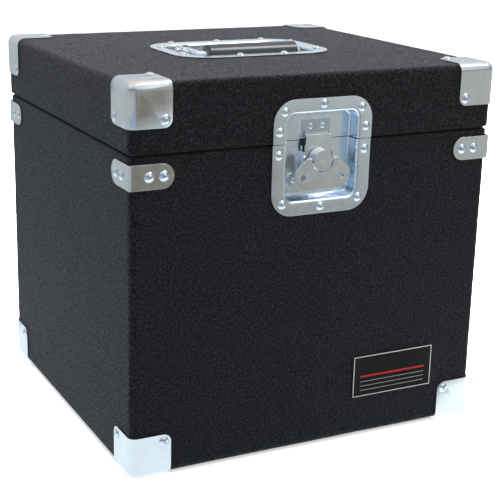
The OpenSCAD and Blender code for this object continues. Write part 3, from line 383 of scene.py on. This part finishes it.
# %% Sizes in mm
BODY_W, BODY_D, SEAM = 380.0, 356.0, 305.0
LID_W, LID_D, LID_LOW, TOP = 381.6, 357.6, 305.8, 369.0
FELT_T, SHEET = 2.6, 1.2        # thickness of the carpet and of the sheet steel
DISH_Z = 291.9                  # height of the latch dish's middle
HANDLE_Y = -4                   # the handle dish's middle lies this far from the lid's
print("body", BODY_W, BODY_D, SEAM, "lid", LID_W, LID_D, TOP)

# %% Carpet helpers
FELT = bpy.data.textures.new("felt_waves", "CLOUDS")
FELT.noise_scale = 0.016
FELT.noise_depth = 2
GRID = 4.6


def divide_along(piece, axis, length):
    """Cuts a grid across all long edges that run along one axis."""
    pick(piece, "EDGE", lambda e: abs(e.verts[0].co[axis] - e.verts[1].co[axis]) > 0.04)
    bpy.ops.mesh.subdivide(number_cuts=round(length / GRID), smoothness=0)


def rim_rings(width, depth, radius, up, count=5):
    """Rolls the picked open edge inwards over a quarter arc."""
    now_x, now_y, now_z = width, depth, 0
    for i in range(1, count + 1):
        a = math.radians(90 * i / count)
        x = width - 2 * radius * (1 - math.cos(a))
        y = depth - 2 * radius * (1 - math.cos(a))
        z = radius * math.sin(a) * up
        bpy.ops.mesh.extrude_region_move(
            TRANSFORM_OT_translate={"value": (0, 0, (z - now_z) * mm)})
        bpy.ops.transform.resize(value=(x / now_x, y / now_y, 1), center_override=(0, 0, 0))
        now_x, now_y, now_z = x, y, z


def carpet_shell(name, width, depth, low, high, open_top, edge=7.0, rim=2.8):
    """A carpeted half of the case: open above for the body, open below for the lid."""
    z0, z1 = (low, high - rim) if open_top else (low + rim, high)
    piece = new_box(name, (-width / 2, -depth / 2, z0), (width / 2, depth / 2, z1))
    start_editing(piece, "FACE")
    open_z = (z1 if open_top else z0) * mm
    pick(piece, "FACE", lambda f: abs(f.calc_center_median().z - open_z) < 1e-5)
    bpy.ops.mesh.delete(type="FACE")
    pick(piece, "EDGE", lambda e: any(abs(v.co.z - open_z) > 1e-5 for v in e.verts))
    bpy.ops.mesh.bevel(offset=edge * mm, segments=6, affect="EDGES")
    for axis, length in enumerate((width, depth, high - low)):
        divide_along(piece, axis, length)
    pick(piece, "EDGE", lambda e: e.is_boundary)
    rim_rings(width, depth, rim, 1 if open_top else -1)
    stop_editing()
    return piece


def felt(piece, strength):
    use_modifier(piece, "DISPLACE", texture=FELT, texture_coords="LOCAL",
                 strength=strength * mm, mid_level=1.0)


def round_cutter(name, width, height, radius, low, high):
    """A round-cornered prism along z, for cutting an opening."""
    cutter = new_box(name, (-width / 2, -height / 2, low), (width / 2, height / 2, high))
    start_editing(cutter, "EDGE")
    pick(cutter, "EDGE", lambda e: abs(e.verts[0].co.z - e.verts[1].co.z) > 1e-4)
    bpy.ops.mesh.bevel(offset=radius * mm, segments=10, affect="EDGES")
    stop_editing()
    return cutter


def cut_with(piece, cutter, solver="FAST"):
    use_modifier(piece, "BOOLEAN", operation="DIFFERENCE", object=cutter, solver=solver)
    bpy.data.objects.remove(cutter)


def to_front(piece, front, height):
    """Turns a piece drawn flat, with up along y, to face the front at a height in mm."""
    piece.rotation_euler = (math.radians(90), 0, 0)
    piece.location = (0, front * mm, height * mm)
    fix_place(piece)


# %% Body carpet
body_felt = carpet_shell("carpet_body", BODY_W, BODY_D, 0.3, SEAM, True)
felt(body_felt, 0.5)
use_modifier(body_felt, "SOLIDIFY", thickness=FELT_T * mm, offset=-1)
opening = round_cutter("opening", 80, 87, 12, -30, 30)
to_front(opening, -BODY_D / 2, DISH_Z)
cut_with(body_felt, opening)
body_felt.data.materials.clear()
body_felt.data.materials.append(carpet)
smooth(body_felt, 60)
belongs(body_felt, "body", "carpet", "body_carpet", "base_carpet")

# %% Lid carpet
lid_felt = carpet_shell("carpet_lid", LID_W, LID_D, LID_LOW, TOP, False)
felt(lid_felt, 0.5)
use_modifier(lid_felt, "SOLIDIFY", thickness=FELT_T * mm, offset=-1)
opening = round_cutter("opening", 80, 87, 12, -30, 30)
to_front(opening, -LID_D / 2, DISH_Z)
cut_with(lid_felt, opening)
opening = round_cutter("opening", 149, 96, 11, TOP - 40, TOP + 10)
opening.location.y = HANDLE_Y * mm
fix_place(opening)
cut_with(lid_felt, opening)
lid_felt.data.materials.clear()
lid_felt.data.materials.append(carpet)
smooth(lid_felt, 60)
belongs(lid_felt, "lid", "carpet", "lid_carpet")


# %% [markdown]
# ## Pressed dishes
# A press draws a dish from flat sheet: a flange stays, its inner edge rolls over, and a wall
# runs down to the floor. The same steps are done here to one face, which is inset and pushed
# in again and again. The sheet gets its thickness last.

# %% Dish helper
def pressed_dish(name, width, height, corner, inset_x, inset_y, depth, rim=3.0, floor=3.0):
    """A dish drawn flat: its flange lies one sheet above z = 0, its recess towards -z."""
    clear_selection()
    bpy.ops.mesh.primitive_plane_add(size=1, location=(0, 0, SHEET * mm))
    piece = bpy.context.active_object
    piece.name = piece.data.name = name
    piece.scale = (width * mm, height * mm, 1)
    fix_place(piece)
    start_editing(piece, "VERT")
    bpy.ops.mesh.select_all(action="SELECT")
    bpy.ops.mesh.bevel(offset=corner * mm, segments=10, affect="VERTICES")
    pick(piece, "FACE", lambda f: True)
    flange = min(inset_x, inset_y) - rim
    press([(flange * 0.5, 0), (flange * 0.5, 0)])
    wide, tall = width - 2 * flange, height - 2 * flange
    target_w, target_h = width - 2 * inset_x + 2 * rim, height - 2 * inset_y + 2 * rim
    bpy.ops.transform.resize(value=(target_w / wide, target_h / tall, 1),
                             center_override=(0, 0, 0))
    down = [(inwards, -abs(up)) for inwards, up in arc_steps(rim, 90, 0, 5)]
    press(down)
    wall = depth - SHEET - floor - (rim - SHEET)
    press([(0, -wall * 0.5), (0, -wall * 0.5)])
    curve = [(floor * (math.cos(math.radians(18 * i)) - math.cos(math.radians(18 * i + 18))),
              -floor * (math.sin(math.radians(18 * i + 18)) - math.sin(math.radians(18 * i))))
             for i in range(5)]
    press(curve)
    press([(1.5, 0)])
    stop_editing()
    return piece


def keep_part(piece, axis, level, above):
    """Cuts a piece at a level in mm and keeps the part above it or below it."""
    start_editing(piece, "VERT")
    bpy.ops.mesh.select_all(action="SELECT")
    place, direction = [0, 0, 0], [0, 0, 0]
    place[axis], direction[axis] = level * mm, 1
    bpy.ops.mesh.bisect(plane_co=place, plane_no=direction,
                        clear_inner=above, clear_outer=not above)
    stop_editing()


def finish_sheet(piece, thickness, material, edge=0.3):
    use_modifier(piece, "SOLIDIFY", thickness=thickness * mm, offset=-1, use_even_offset=True)
    soften_edges(piece, edge, 55)
    piece.data.materials.clear()
    piece.data.materials.append(material)
    smooth(piece, 40)


# %% Latch dish, lower half
dish = pressed_dish("latch_dish_lower_pressed", 104, 109, 22, 15, 14, 14.7)
to_front(dish, -BODY_D / 2, DISH_Z)
keep_part(dish, 2, SEAM, above=False)
finish_sheet(dish, SHEET, recess_steel_painted_reflection)
belongs(dish, "body", "plated_steel", "latch_dish_lower")

# %% Latch dish, upper half
dish = pressed_dish("latch_dish_upper_pressed", 104, 109, 22, 15, 14, 14.7)
to_front(dish, -LID_D / 2, DISH_Z)
keep_part(dish, 2, LID_LOW, above=True)
finish_sheet(dish, SHEET, recess_steel_painted_reflection)
belongs(dish, "lid", "plated_steel", "latch_dish_upper")

# %% Handle dish
dish = pressed_dish("handle_dish_pressed", 171, 118, 34, 14, 14, 24)
dish.location = (0, HANDLE_Y * mm, TOP * mm)
fix_place(dish)
finish_sheet(dish, SHEET, dish_steel)
belongs(dish, "lid", "plated_steel", "handle_dish")


# %% [markdown]
# ## Steel corners
# Three leaves meet in a ball, as on any knock-proof corner. A cube loses the three faces
# that point into the case, its outer edges are bevelled round, and the free corner of each
# leaf is rounded too. One is modelled, and the other seven are mirrored copies.

# %% Corner protector
def corner_protector():
    leg, ball, tip = 41.2, 8.2, 8.0
    piece = new_box("corner", (0, 0, 0), (leg, leg, leg))
    start_editing(piece, "FACE")
    pick(piece, "FACE", lambda f: max(f.normal) > 0.5)
    bpy.ops.mesh.delete(type="FACE")
    far = (leg - 0.1) * mm
    pick(piece, "EDGE", lambda e: all(sum(c > far for c in v.co) < 2 for v in e.verts))
    bpy.ops.mesh.bevel(offset=ball * mm, segments=7, affect="EDGES")
    pick(piece, "VERT", lambda v: sum(c > far for c in v.co) == 2)
    bpy.ops.mesh.bevel(offset=tip * mm, segments=7, affect="VERTICES")
    stop_editing()
    return piece


CORNERS = [(sx, sy, sz) for sz in (-1, 1) for sy in (-1, 1) for sx in (-1, 1)]


def corner_place(sx, sy, sz):
    """The matrix that takes the modelled corner to one of the eight corners of the case."""
    w, d = (BODY_W, BODY_D) if sz < 0 else (LID_W, LID_D)
    z = 0 if sz < 0 else TOP + SHEET
    place = Matrix.Translation((sx * (w / 2 + SHEET) * mm, sy * (d / 2 + SHEET) * mm, z * mm))
    return place @ Matrix.Diagonal((-sx, -sy, -sz, 1))


def copy_at(source, name, matrix):
    """A copy with its own mesh, put in place, its faces turned outwards again if mirrored."""
    copy = source.copy()
    copy.data = source.data.copy()
    copy.name = copy.data.name = name
    bpy.context.scene.collection.objects.link(copy)
    copy.matrix_world = matrix
    fix_place(copy)
    if matrix.determinant() < 0:
        start_editing(copy, "FACE")
        bpy.ops.mesh.select_all(action="SELECT")
        bpy.ops.mesh.normals_make_consistent(inside=False)
        stop_editing()
    return copy


corner = corner_protector()
finish_sheet(corner, SHEET, sheet_steel)
for sx, sy, sz in CORNERS:
    words = ("bottom" if sz < 0 else "top", "front" if sy < 0 else "back",
             "left" if sx < 0 else "right")
    node = "corner_" + "_".join(words)
    piece = copy_at(corner, node + "_rounded", corner_place(sx, sy, sz))
    belongs(piece, "body" if sz < 0 else "lid", "plated_steel", node)
bpy.data.objects.remove(corner)


# %% [markdown]
# ## Rivets
# The case is held together by semi-tubular rivets: a low dome with a small round dimple.
# A disc is inset and raised in steps that follow the dome, and its middle is pushed in.
# Each rivet also has its rolled tail, which shows inside the case. The rivets underneath
# are flush, so that the case stands flat. One of each kind is modelled and then copied.

# %% Rivet
def rivet(name, diameter, height, reach, tail, dimple=2.6):
    """A domed head that stands on z = 0, and the tail at the far end of its shank."""
    clear_selection()
    bpy.ops.mesh.primitive_circle_add(vertices=24, radius=diameter / 2 * mm, fill_type="NGON")
    piece = bpy.context.active_object
    piece.name = piece.data.name = name
    start_editing(piece, "FACE")
    pick(piece, "FACE", lambda f: True)
    crown, rim = height - 0.35, 0.35
    ball = (diameter ** 2 / 4 + crown ** 2) / (2 * crown)
    press([(0, rim)])
    radii = [diameter / 2 * k for k in (1.0, 0.93, 0.84, 0.72, 0.58)] + [dimple / 2 + 0.25]
    def level(r):
        return math.sqrt(ball ** 2 - r ** 2) - ball + crown
    press([(a - b, level(b) - level(a)) for a, b in zip(radii, radii[1:])])
    press([(0.25, -0.15), (0.12, -0.5), (0, -0.7)])
    stop_editing()
    return with_tail(piece, reach, tail)


def flush_rivet(name, diameter, thickness, reach, tail, dimple=2.6):
    """A rivet whose flat head lies in the steel, level with it."""
    clear_selection()
    bpy.ops.mesh.primitive_circle_add(vertices=24, radius=diameter / 2 * mm, fill_type="NGON",
                                      location=(0, 0, -thickness * mm))
    piece = bpy.context.active_object
    piece.name = piece.data.name = name
    fix_place(piece)
    start_editing(piece, "FACE")
    pick(piece, "FACE", lambda f: True)
    press([(0, thickness - 0.25), (0.25, 0.25), (diameter / 2 - dimple / 2 - 0.25, 0),
           (0.25, -0.15), (0.12, -0.5)])
    stop_editing()
    return with_tail(piece, reach, tail)


def with_tail(head, reach, tail):
    """Adds the rolled end of the rivet, which shows when one looks inside."""
    clear_selection()
    bpy.ops.mesh.primitive_cylinder_add(vertices=20, radius=tail / 2 * mm, depth=1.8 * mm,
                                        location=(0, 0, -(reach + 0.9) * mm))
    end = bpy.context.active_object
    fix_place(end)
    soften_edges(end, 0.5, 60, 3)
    join_all([head, end])
    head.data.materials.clear()
    head.data.materials.append(rivet_steel)
    smooth(head, 35)
    return head


def join_all(pieces):
    """Joins the pieces into the first one."""
    work_on(pieces[0])
    for piece in pieces[1:]:
        piece.select_set(True)
    bpy.ops.object.join()


def join_rivets(name, source, matrices):
    """One piece made of a rivet at each of the given places."""
    copies = [copy_at(source, name, m) for m in matrices]
    join_all(copies)
    copies[0].name = copies[0].data.name = name
    return copies[0]


def facing(x, y, z, direction):
    """A place on the case in mm, with the rivet's head pointing along a direction."""
    turn = Vector(direction).to_track_quat("Z", "Y").to_matrix().to_4x4()
    return Matrix.Translation((x * mm, y * mm, z * mm)) @ turn


big_rivet = rivet("big_rivet", 9.7, 2.4, 13.2, 6.8)
sunk_rivet = flush_rivet("sunk_rivet", 9.6, 1.2, 12, 6.8)
dish_rivet = rivet("dish_rivet", 8.5, 2.4, 13.2, 6.8, 2.4)
small_rivet = rivet("small_rivet", 6.5, 1.6, 2.8, 4.6, 2.0)
hinge_rivet = rivet("hinge_rivet", 6.5, 1.6, 13.6, 4.6, 2.0)
print("rivets", triangles(big_rivet), "triangles each")

# %% Rivets of corners and braces
LEAF_ROW = 34.0                     # distance of a corner's rivets from the case's edges
BRACE_Z = SEAM - 7 - 22.9 / 2       # middle of a brace 22.9 mm high, 7 mm below the seam
BRACE_ROWS = (17.5, 31.5)           # distances of a brace's rivets from the case's edge


def leaf_places(sz, leaves):
    """Rivet places of the corners above (sz = 1) or below, on the named leaves."""
    places = []
    for sx, sy, _ in [c for c in CORNERS if c[2] == sz]:
        m = corner_place(sx, sy, sz)
        spots = {"x": ((0, LEAF_ROW, LEAF_ROW), (-1, 0, 0)),
                 "y": ((LEAF_ROW, 0, LEAF_ROW), (0, -1, 0)),
                 "z": ((LEAF_ROW, LEAF_ROW, 0), (0, 0, -1))}
        for leaf in leaves:
            at, out = spots[leaf]
            at = m @ (Vector(at) * mm)
            out = m.to_3x3() @ Vector(out)
            places.append(facing(*(at / mm), out))
    return places


def brace_places():
    places = []
    half_w, half_d = BODY_W / 2, BODY_D / 2
    for sx in (-1, 1):
        for sy in (-1, 1):
            for along in BRACE_ROWS:
                places.append(facing(sx * (half_w + SHEET), sy * (half_d - along), BRACE_Z,
                                     (sx, 0, 0)))
                places.append(facing(sx * (half_w - along), sy * (half_d + SHEET), BRACE_Z,
                                     (0, sy, 0)))
    return places


group = join_rivets("top_corner_rivet_heads", big_rivet, leaf_places(1, "xyz"))
belongs(group, "lid", "rivets", "top_corner_rivets")
group = join_rivets("bottom_corner_rivet_heads", big_rivet, leaf_places(-1, "xy"))
extra = join_rivets("underside_rivet_heads", sunk_rivet, leaf_places(-1, "z"))
belongs(group, "body", "rivets", "bottom_corner_rivets")
belongs(extra, "body", "rivets")
group = join_rivets("brace_rivet_heads", big_rivet, brace_places())
belongs(group, "body", "rivets", "brace_rivets")

# %% Rivets of the dishes and hinges
# Places across and up from a dish's middle; for the hinges, up or down from the pin.
UPPER = [(0, 48.9), (-40.6, 43.3), (40.6, 43.3), (-45.5, 25.1), (45.5, 25.1)]
LOWER = [(-45.4, 3.5), (45.4, 3.5), (-40.6, -42.9), (40.6, -42.9), (0, -47.7)]
HINGE_X, HINGE_Z, HINGE_ROWS = 110, SEAM + 0.4, (26, 12)
HINGE_SHEET = 1.6
SEAT = 11.9                         # depth of the latch's plates behind the case's front
GRIP = [(-24.4, -53), (24.4, -53), (-53, 52), (0, 52), (53, 52), (-76, -28), (76, -28),
        (-76, 28), (76, 28)]
front = -BODY_D / 2 - SHEET
group = join_rivets("latch_dish_lower_rivet_heads", dish_rivet,
                    [facing(x, front, DISH_Z + z, (0, -1, 0)) for x, z in LOWER])
extra = join_rivets("base_plate_rivet_heads", small_rivet,
                    [facing(x, -BODY_D / 2 + SEAT, 267.5, (0, -1, 0)) for x in (-21.5, 21.5)])
belongs(group, "body", "rivets", "latch_dish_lower_rivets")
belongs(extra, "body", "rivets")
front = -LID_D / 2 - SHEET
group = join_rivets("latch_dish_upper_rivet_heads", dish_rivet,
                    [facing(x, front, DISH_Z + z, (0, -1, 0)) for x, z in UPPER])
extra = join_rivets("keeper_rivet_heads", small_rivet,
                    [facing(x, -LID_D / 2 + SEAT, SEAM + 13, (0, -1, 0)) for x in (-6.3, 6.3)])
belongs(group, "lid", "rivets", "latch_dish_upper_rivets")
belongs(extra, "lid", "rivets")
group = join_rivets("handle_dish_rivet_heads", dish_rivet,
                    [facing(x, y + HANDLE_Y, TOP + SHEET, (0, 0, 1)) for x, y in GRIP])
belongs(group, "lid", "rivets", "handle_dish_rivets")
for part, body, back, up in (("body", "body", BODY_D / 2, -1), ("lid", "lid", LID_D / 2, 1)):
    group = join_rivets(f"hinge_{part}_rivet_heads", hinge_rivet,
                        [facing(x + dx, back + HINGE_SHEET, HINGE_Z + up * dz, (0, 1, 0))
                         for x in (-HINGE_X, HINGE_X) for dx in (-22, 22)
                         for dz in HINGE_ROWS])
    belongs(group, body, "rivets", f"hinge_{part}_rivets")
for spare in (big_rivet, sunk_rivet, dish_rivet, small_rivet, hinge_rivet):
    bpy.data.objects.remove(spare)


# %% [markdown]
# ## Small steel parts
# Braces, latch and hinges have their right shape in CAD, with edges as sharp as a knife.
# Real sheet has edges that catch the light, so a copy of each is merged into clean faces
# and its edges are bevelled by a quarter to half a millimetre.

# %% Softened copies
def softened(node, body, slot, material, width=0.25, degrees=40, angle=35):
    source = nodes[node]
    piece = source.copy()
    piece.data = source.data.copy()
    for key in list(piece.keys()):
        del piece[key]
    piece.name = piece.data.name = node + "_edged"
    piece.parent = None
    bpy.context.scene.collection.objects.link(piece)
    start_editing(piece, "VERT")
    bpy.ops.mesh.select_all(action="SELECT")
    bpy.ops.mesh.remove_doubles(threshold=0.005 * mm)
    bpy.ops.mesh.dissolve_limited(angle_limit=math.radians(1.5))
    stop_editing()
    if width:
        soften_edges(piece, width, degrees)
    piece.data.materials.clear()
    piece.data.materials.append(material)
    smooth(piece, angle)
    belongs(piece, body, slot, node)
    return piece


for side in ("left", "right"):
    for end in ("front", "back"):
        softened(f"brace_{end}_{side}", "body", "plated_steel", sheet_steel)
    softened(f"handle_bracket_{side}", "lid", "plated_steel", dish_steel)
    for part in ("body", "lid"):
        softened(f"hinge_{side}_{part}_leaf", part, "plated_steel", sheet_steel)
softened("latch_base_plate", "body", "plated_steel", dish_steel)
softened("latch_keeper", "lid", "plated_steel", keeper_steel, 0.4)
softened("latch_hook", "hook", "plated_steel", latch_steel)
softened("latch_rotor", "rotor", "plated_steel", latch_steel, 0.4)
softened("latch_wing", "wing", "plated_steel", latch_steel, 0.5)
softened("handle_bail", "handle", "plated_steel", dish_steel, 0)

# %% [markdown]
# ## Grip
# The grip is a smooth rubber tube on the bail. A cylinder gets rounded ends, and two rings
# are inset on each end.

# %% Grip
low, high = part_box("handle_grip")
clear_selection()
bpy.ops.mesh.primitive_cylinder_add(vertices=64, radius=(high.z - low.z) / 2 - 0.01 * mm,
                                    depth=high.x - low.x, location=(low + high) / 2,
                                    rotation=(0, math.radians(90), 0))
grip = bpy.context.active_object
grip.name = grip.data.name = "rubber_grip"
fix_place(grip)
start_editing(grip, "FACE")
pick(grip, "FACE", lambda f: len(f.verts) > 10)
bpy.ops.mesh.inset(thickness=1.6 * mm, use_individual=True)
bpy.ops.mesh.inset(thickness=4.75 * mm, use_individual=True)
stop_editing()
use_modifier(grip, "BEVEL", width=1.3 * mm, segments=4, limit_method="ANGLE",
             angle_limit=math.radians(60))
grip.data.materials.clear()
grip.data.materials.append(rubber)
smooth(grip, 40)
belongs(grip, "handle", "rubber", "handle_grip")

# %% [markdown]
# ## Foam inside
# A sheet of foam lies in the base and another in the lid, so that the sleeves don't knock.
# Both are flat sheets with soft edges. Nothing hangs or folds, so no simulation is needed.

# %% Foam pads
def foam_sheet(name, low, high):
    piece = new_box(name, low, high)
    start_editing(piece, "EDGE")
    bpy.ops.mesh.select_all(action="SELECT")
    bpy.ops.mesh.bevel(offset=1.6 * mm, segments=3, affect="EDGES")
    for axis in (0, 1):
        pick(piece, "EDGE", lambda e: abs(e.verts[0].co[axis] - e.verts[1].co[axis]) > 0.04)
        bpy.ops.mesh.subdivide(number_cuts=30, smoothness=0)
    stop_editing()
    felt(piece, 0.4)
    piece.data.materials.clear()
    piece.data.materials.append(foam)
    return piece


low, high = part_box("base_pad")
pad = foam_sheet("foam_base", low / mm, high / mm)
smooth(pad, 50)
belongs(pad, "body", "foam", "base_pad")
low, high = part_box("lid_pad")
pad = foam_sheet("foam_lid", low / mm, high / mm)
opening = round_cutter("opening", 171, 118, 34, 330, 370)
opening.location.y = HANDLE_Y * mm
fix_place(opening)
cut_with(pad, opening, "EXACT")
smooth(pad, 50)
belongs(pad, "lid", "foam", "lid_pad")

# %% [markdown]
# ## Name plate
# A thin glossy plate sits at the lower right of the front. It stays generic: a silver edge,
# one coloured rule and a few pale lines to write on, all set by place on the plate.

# %% Name plate
def between(tree, value, low, high):
    """1 where the value lies between two levels in metres, else 0."""
    above = tree.nodes.new("ShaderNodeMath")
    above.operation = "GREATER_THAN"
    tree.links.new(value, above.inputs[0])
    above.inputs[1].default_value = low
    below = tree.nodes.new("ShaderNodeMath")
    below.operation = "LESS_THAN"
    tree.links.new(value, below.inputs[0])
    below.inputs[1].default_value = high
    return times(tree, above.outputs[0], below.outputs[0])


def times(tree, a, b, operation="MULTIPLY"):
    node = tree.nodes.new("ShaderNodeMath")
    node.operation = operation
    tree.links.new(a, node.inputs[0])
    tree.links.new(b, node.inputs[1])
    return node.outputs[0]


def paint(tree, below, colour, where):
    node = tree.nodes.new("ShaderNodeMix")
    node.data_type = "RGBA"
    tree.links.new(where, node.inputs["Factor"])
    tree.links.new(below, node.inputs["A"])
    node.inputs["B"].default_value = (*colour, 1)
    return node.outputs["Result"]


def make_plate_finish(x, z, width, height):
    finish, tree, shader, places = new_finish("name_plate_print")
    split = tree.nodes.new("ShaderNodeSeparateXYZ")
    tree.links.new(places, split.inputs["Vector"])
    across, up = split.outputs["X"], split.outputs["Z"]
    colour = ramp(tree, noise(tree, places, 30), [(0.3, grey(0.006)), (0.7, grey(0.010))])
    left, right = x - width / 2, x + width / 2
    bottom = z - height / 2

    def band(colour_below, tint, x0, x1, z0, z1):
        where = times(tree, between(tree, across, x0 * mm, x1 * mm),
                      between(tree, up, z0 * mm, z1 * mm))
        return paint(tree, colour_below, tint, where)

    colour = band(colour, (0.45, 0.02, 0.02), left + 8, right - 8, z - 1.2, z + 0.6)
    for k in range(3):
        level = bottom + 6 + 4.6 * k
        colour = band(colour, grey(0.35), left + 8, right - 8, level, level + 0.5)
    tree.links.new(colour, shader.inputs["Base Color"])
    shader.inputs["Roughness"].default_value = 0.25
    shader.inputs["Specular IOR Level"].default_value = 0.06
    bump(tree, shader, noise(tree, places, 40, detail=2), 0.4, 0.15)
    return finish


PLATE = (93, 63.3, 92, 42.5)        # middle across and up, width and height
softened("label_plate", "body", "name_plate", make_plate_finish(*PLATE), 0.2)
low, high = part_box("label_plate")
border = new_box("name_plate_border", (low.x / mm, low.y / mm - 0.12, low.z / mm),
                 (high.x / mm, low.y / mm + 0.3, high.z / mm))
start_editing(border, "FACE")
pick(border, "FACE", lambda f: abs(f.normal.y) > 0.5)
bpy.ops.mesh.inset(thickness=0.8 * mm)
bpy.ops.mesh.bridge_edge_loops()
stop_editing()
border.data.materials.clear()
border.data.materials.append(make_plain("silver_edge", (0.50, 0.46, 0.47), (0.60, 0.56, 0.57),
                                        90, 0.40, 0.05, specular=0.3))
belongs(border, "body", "name_plate")

# %% [markdown]
# ## Finishes of the other CAD nodes
# The ply panels and the small pins keep their CAD shape, and only get a finish.

# %% Dress the rest
for name, node in nodes.items():
    if node.hide_render:
        continue
    if name.endswith("_panel"):
        finish = ply_face
    elif "rivets" in name or "pin" in name or "ring" in name:
        finish = rivet_steel
    else:
        finish = sheet_steel
    node.data.materials.clear()
    node.data.materials.append(finish)
    print("dressed", name, "with", finish.name)

# %% [markdown]
# ## Floor and light
# A pale floor and a white surround, as in a small studio. The floor is white to the camera
# and keeps the case's soft shadow. Steel shows what it mirrors, so the floor and the room
# look different to a mirror: bright close to the case, and in wide patches farther away.

# %% Floor
CLOSE_LEFT, CLOSE_RIGHT = (1.00, 1.22, 1.42), (1.35, 1.60, 1.75)
FAR_FRONT, FAR_BACK = (0.20, 0.185, 0.155), (0.52, 0.61, 0.67)
FAR_RIGHT, FAR_SIDE, FAR_LEFT = (0.52, 0.58, 0.61), (0.31, 0.47, 0.65), (0.58, 0.62, 0.64)


def make_floor():
    clear_selection()
    bpy.ops.mesh.primitive_plane_add(size=30, location=(0, 0, -0.0005))
    floor = bpy.context.active_object
    floor.name = "floor"
    finish, tree, shader, places = new_finish("pale_floor")
    shader.inputs["Base Color"].default_value = (0.80, 0.80, 0.80, 1)
    shader.inputs["Roughness"].default_value = 0.9
    shader.inputs["Specular IOR Level"].default_value = 0.0
    shader.inputs["Emission Color"].default_value = (1, 1, 1, 1)
    rays = tree.nodes.new("ShaderNodeLightPath")
    seen = spread(tree, rays.outputs["Is Camera Ray"], 0, 1)
    seen.node.inputs["To Max"].default_value = 0.5
    tree.links.new(seen, shader.inputs["Emission Strength"])
    reach = tree.nodes.new("ShaderNodeVectorMath")
    reach.operation = "LENGTH"
    tree.links.new(places, reach.inputs[0])
    apart = tree.nodes.new("ShaderNodeSeparateXYZ")
    tree.links.new(places, apart.inputs[0])
    behind = spread(tree, apart.outputs["Y"], -0.2, 0.5)
    aside = spread(tree, apart.outputs["X"], 0.1, -0.5)
    right = spread(tree, apart.outputs["X"], 0.4, 0.9)
    front = mix_colours(tree, right, FAR_FRONT, FAR_RIGHT)
    front = mix_colours(tree, aside, front, FAR_SIDE)
    front = mix_colours(tree, spread(tree, apart.outputs["X"], -0.85, -1.1), front, FAR_LEFT)
    far = mix_colours(tree, behind, front, FAR_BACK)
    near = spread(tree, reach.outputs["Value"], 0.85, 0.42)
    close_right = spread(tree, apart.outputs["X"], -0.1, 0.3)
    close = mix_colours(tree, close_right, CLOSE_LEFT, CLOSE_RIGHT)
    mirrored = tree.nodes.new("ShaderNodeEmission")
    tree.links.new(mix_colours(tree, near, far, close), mirrored.inputs["Color"])
    pick_one = tree.nodes.new("ShaderNodeMixShader")
    tree.links.new(rays.outputs["Is Glossy Ray"], pick_one.inputs["Fac"])
    tree.links.new(shader.outputs[0], pick_one.inputs[1])
    tree.links.new(mirrored.outputs[0], pick_one.inputs[2])
    surface = next(n for n in tree.nodes if n.type == "OUTPUT_MATERIAL").inputs["Surface"]
    tree.links.new(pick_one.outputs[0], surface)
    floor.data.materials.append(finish)
    print("floor", floor.name)


make_floor()


# %% World
ROOM_FRONT_LOW, ROOM_FRONT_HIGH = (0.30, 0.29, 0.26), (0.20, 0.38, 0.62)
ROOM_BACK, ROOM_ABOVE = (0.58, 0.67, 0.77), (0.95, 0.97, 1.0)


def make_world(level):
    world = bpy.data.worlds.new("studio")
    bpy.context.scene.world = world
    world.use_nodes = True
    tree = world.node_tree
    back = tree.nodes["Background"]
    way = tree.nodes.new("ShaderNodeSeparateXYZ")
    tree.links.new(tree.nodes.new("ShaderNodeTexCoord").outputs["Generated"], way.inputs[0])
    behind = spread(tree, way.outputs["Y"], -0.2, 0.3)
    above = spread(tree, way.outputs["Z"], 0.10, 0.25)
    front = mix_colours(tree, above, ROOM_FRONT_LOW, ROOM_FRONT_HIGH)
    low = mix_colours(tree, behind, front, ROOM_BACK)
    high = spread(tree, way.outputs["Z"], 0.35, 0.75)
    room = mix_colours(tree, high, low, ROOM_ABOVE)
    rays = tree.nodes.new("ShaderNodeLightPath")
    sky = ramp(tree, way.outputs["Z"], [(0.0, grey(level * 0.45)), (1.0, grey(level * 2.4))])
    lit = mix_colours(tree, rays.outputs["Is Glossy Ray"], sky, room)
    tree.links.new(mix_colours(tree, rays.outputs["Is Camera Ray"], lit, (1.0, 1.0, 1.0)),
                   back.inputs["Color"])
    back.inputs["Strength"].default_value = 1
    print("world", world.name)


make_world(0.45)

# %% [markdown]
# Five soft lamps light the case. A large one above the back brings out the felt of the lid:
# most of its light is kept out of mirrors, so that the steel doesn't burn out, and a weaker
# twin in the same place gives the steel its highlight. A small one on the right draws the
# bright line along the grip, and two weak ones fill the left side and the front.

# %% Lamps
def lamp(name, place, target, size, power, colour, mirrored=True):
    data = bpy.data.lights.new(name, "AREA")
    data.shape = "RECTANGLE"
    data.size, data.size_y = size
    data.energy = power
    data.color = colour
    light = bpy.data.objects.new(name, data)
    bpy.context.scene.collection.objects.link(light)
    light.location = place
    light.rotation_euler = (Vector(target) - Vector(place)).to_track_quat("-Z", "Y").to_euler()
    light.visible_glossy = mirrored
    print(name, power, "W")


TOP_PLACE, TOP_SIZE, TOP_TINT = (0.5, 1.35, 1.6), (2.4, 1.6), (0.98, 0.96, 1.0)
lamp("key_left", (-1.6, -0.6, 1.3), (0, 0, 0.2), (1.2, 1.2), 0.9, (0.93, 0.95, 1.0))
lamp("fill_front", (1.0, -1.9, 1.2), (0, 0, 0.2), (1.0, 1.0), 2.5, (1.0, 0.97, 0.93))
lamp("top_back", TOP_PLACE, (0, 0, 0.35), TOP_SIZE, 240, TOP_TINT, mirrored=False)
lamp("top_glow", TOP_PLACE, (0, 0, 0.35), TOP_SIZE, 46, TOP_TINT)
lamp("top_right", (0.64, -0.50, 1.52), (0, 0, 0.36), (0.5, 0.5), 7, (1.0, 0.99, 0.98))
bpy.context.scene.view_settings.view_transform = "Standard"
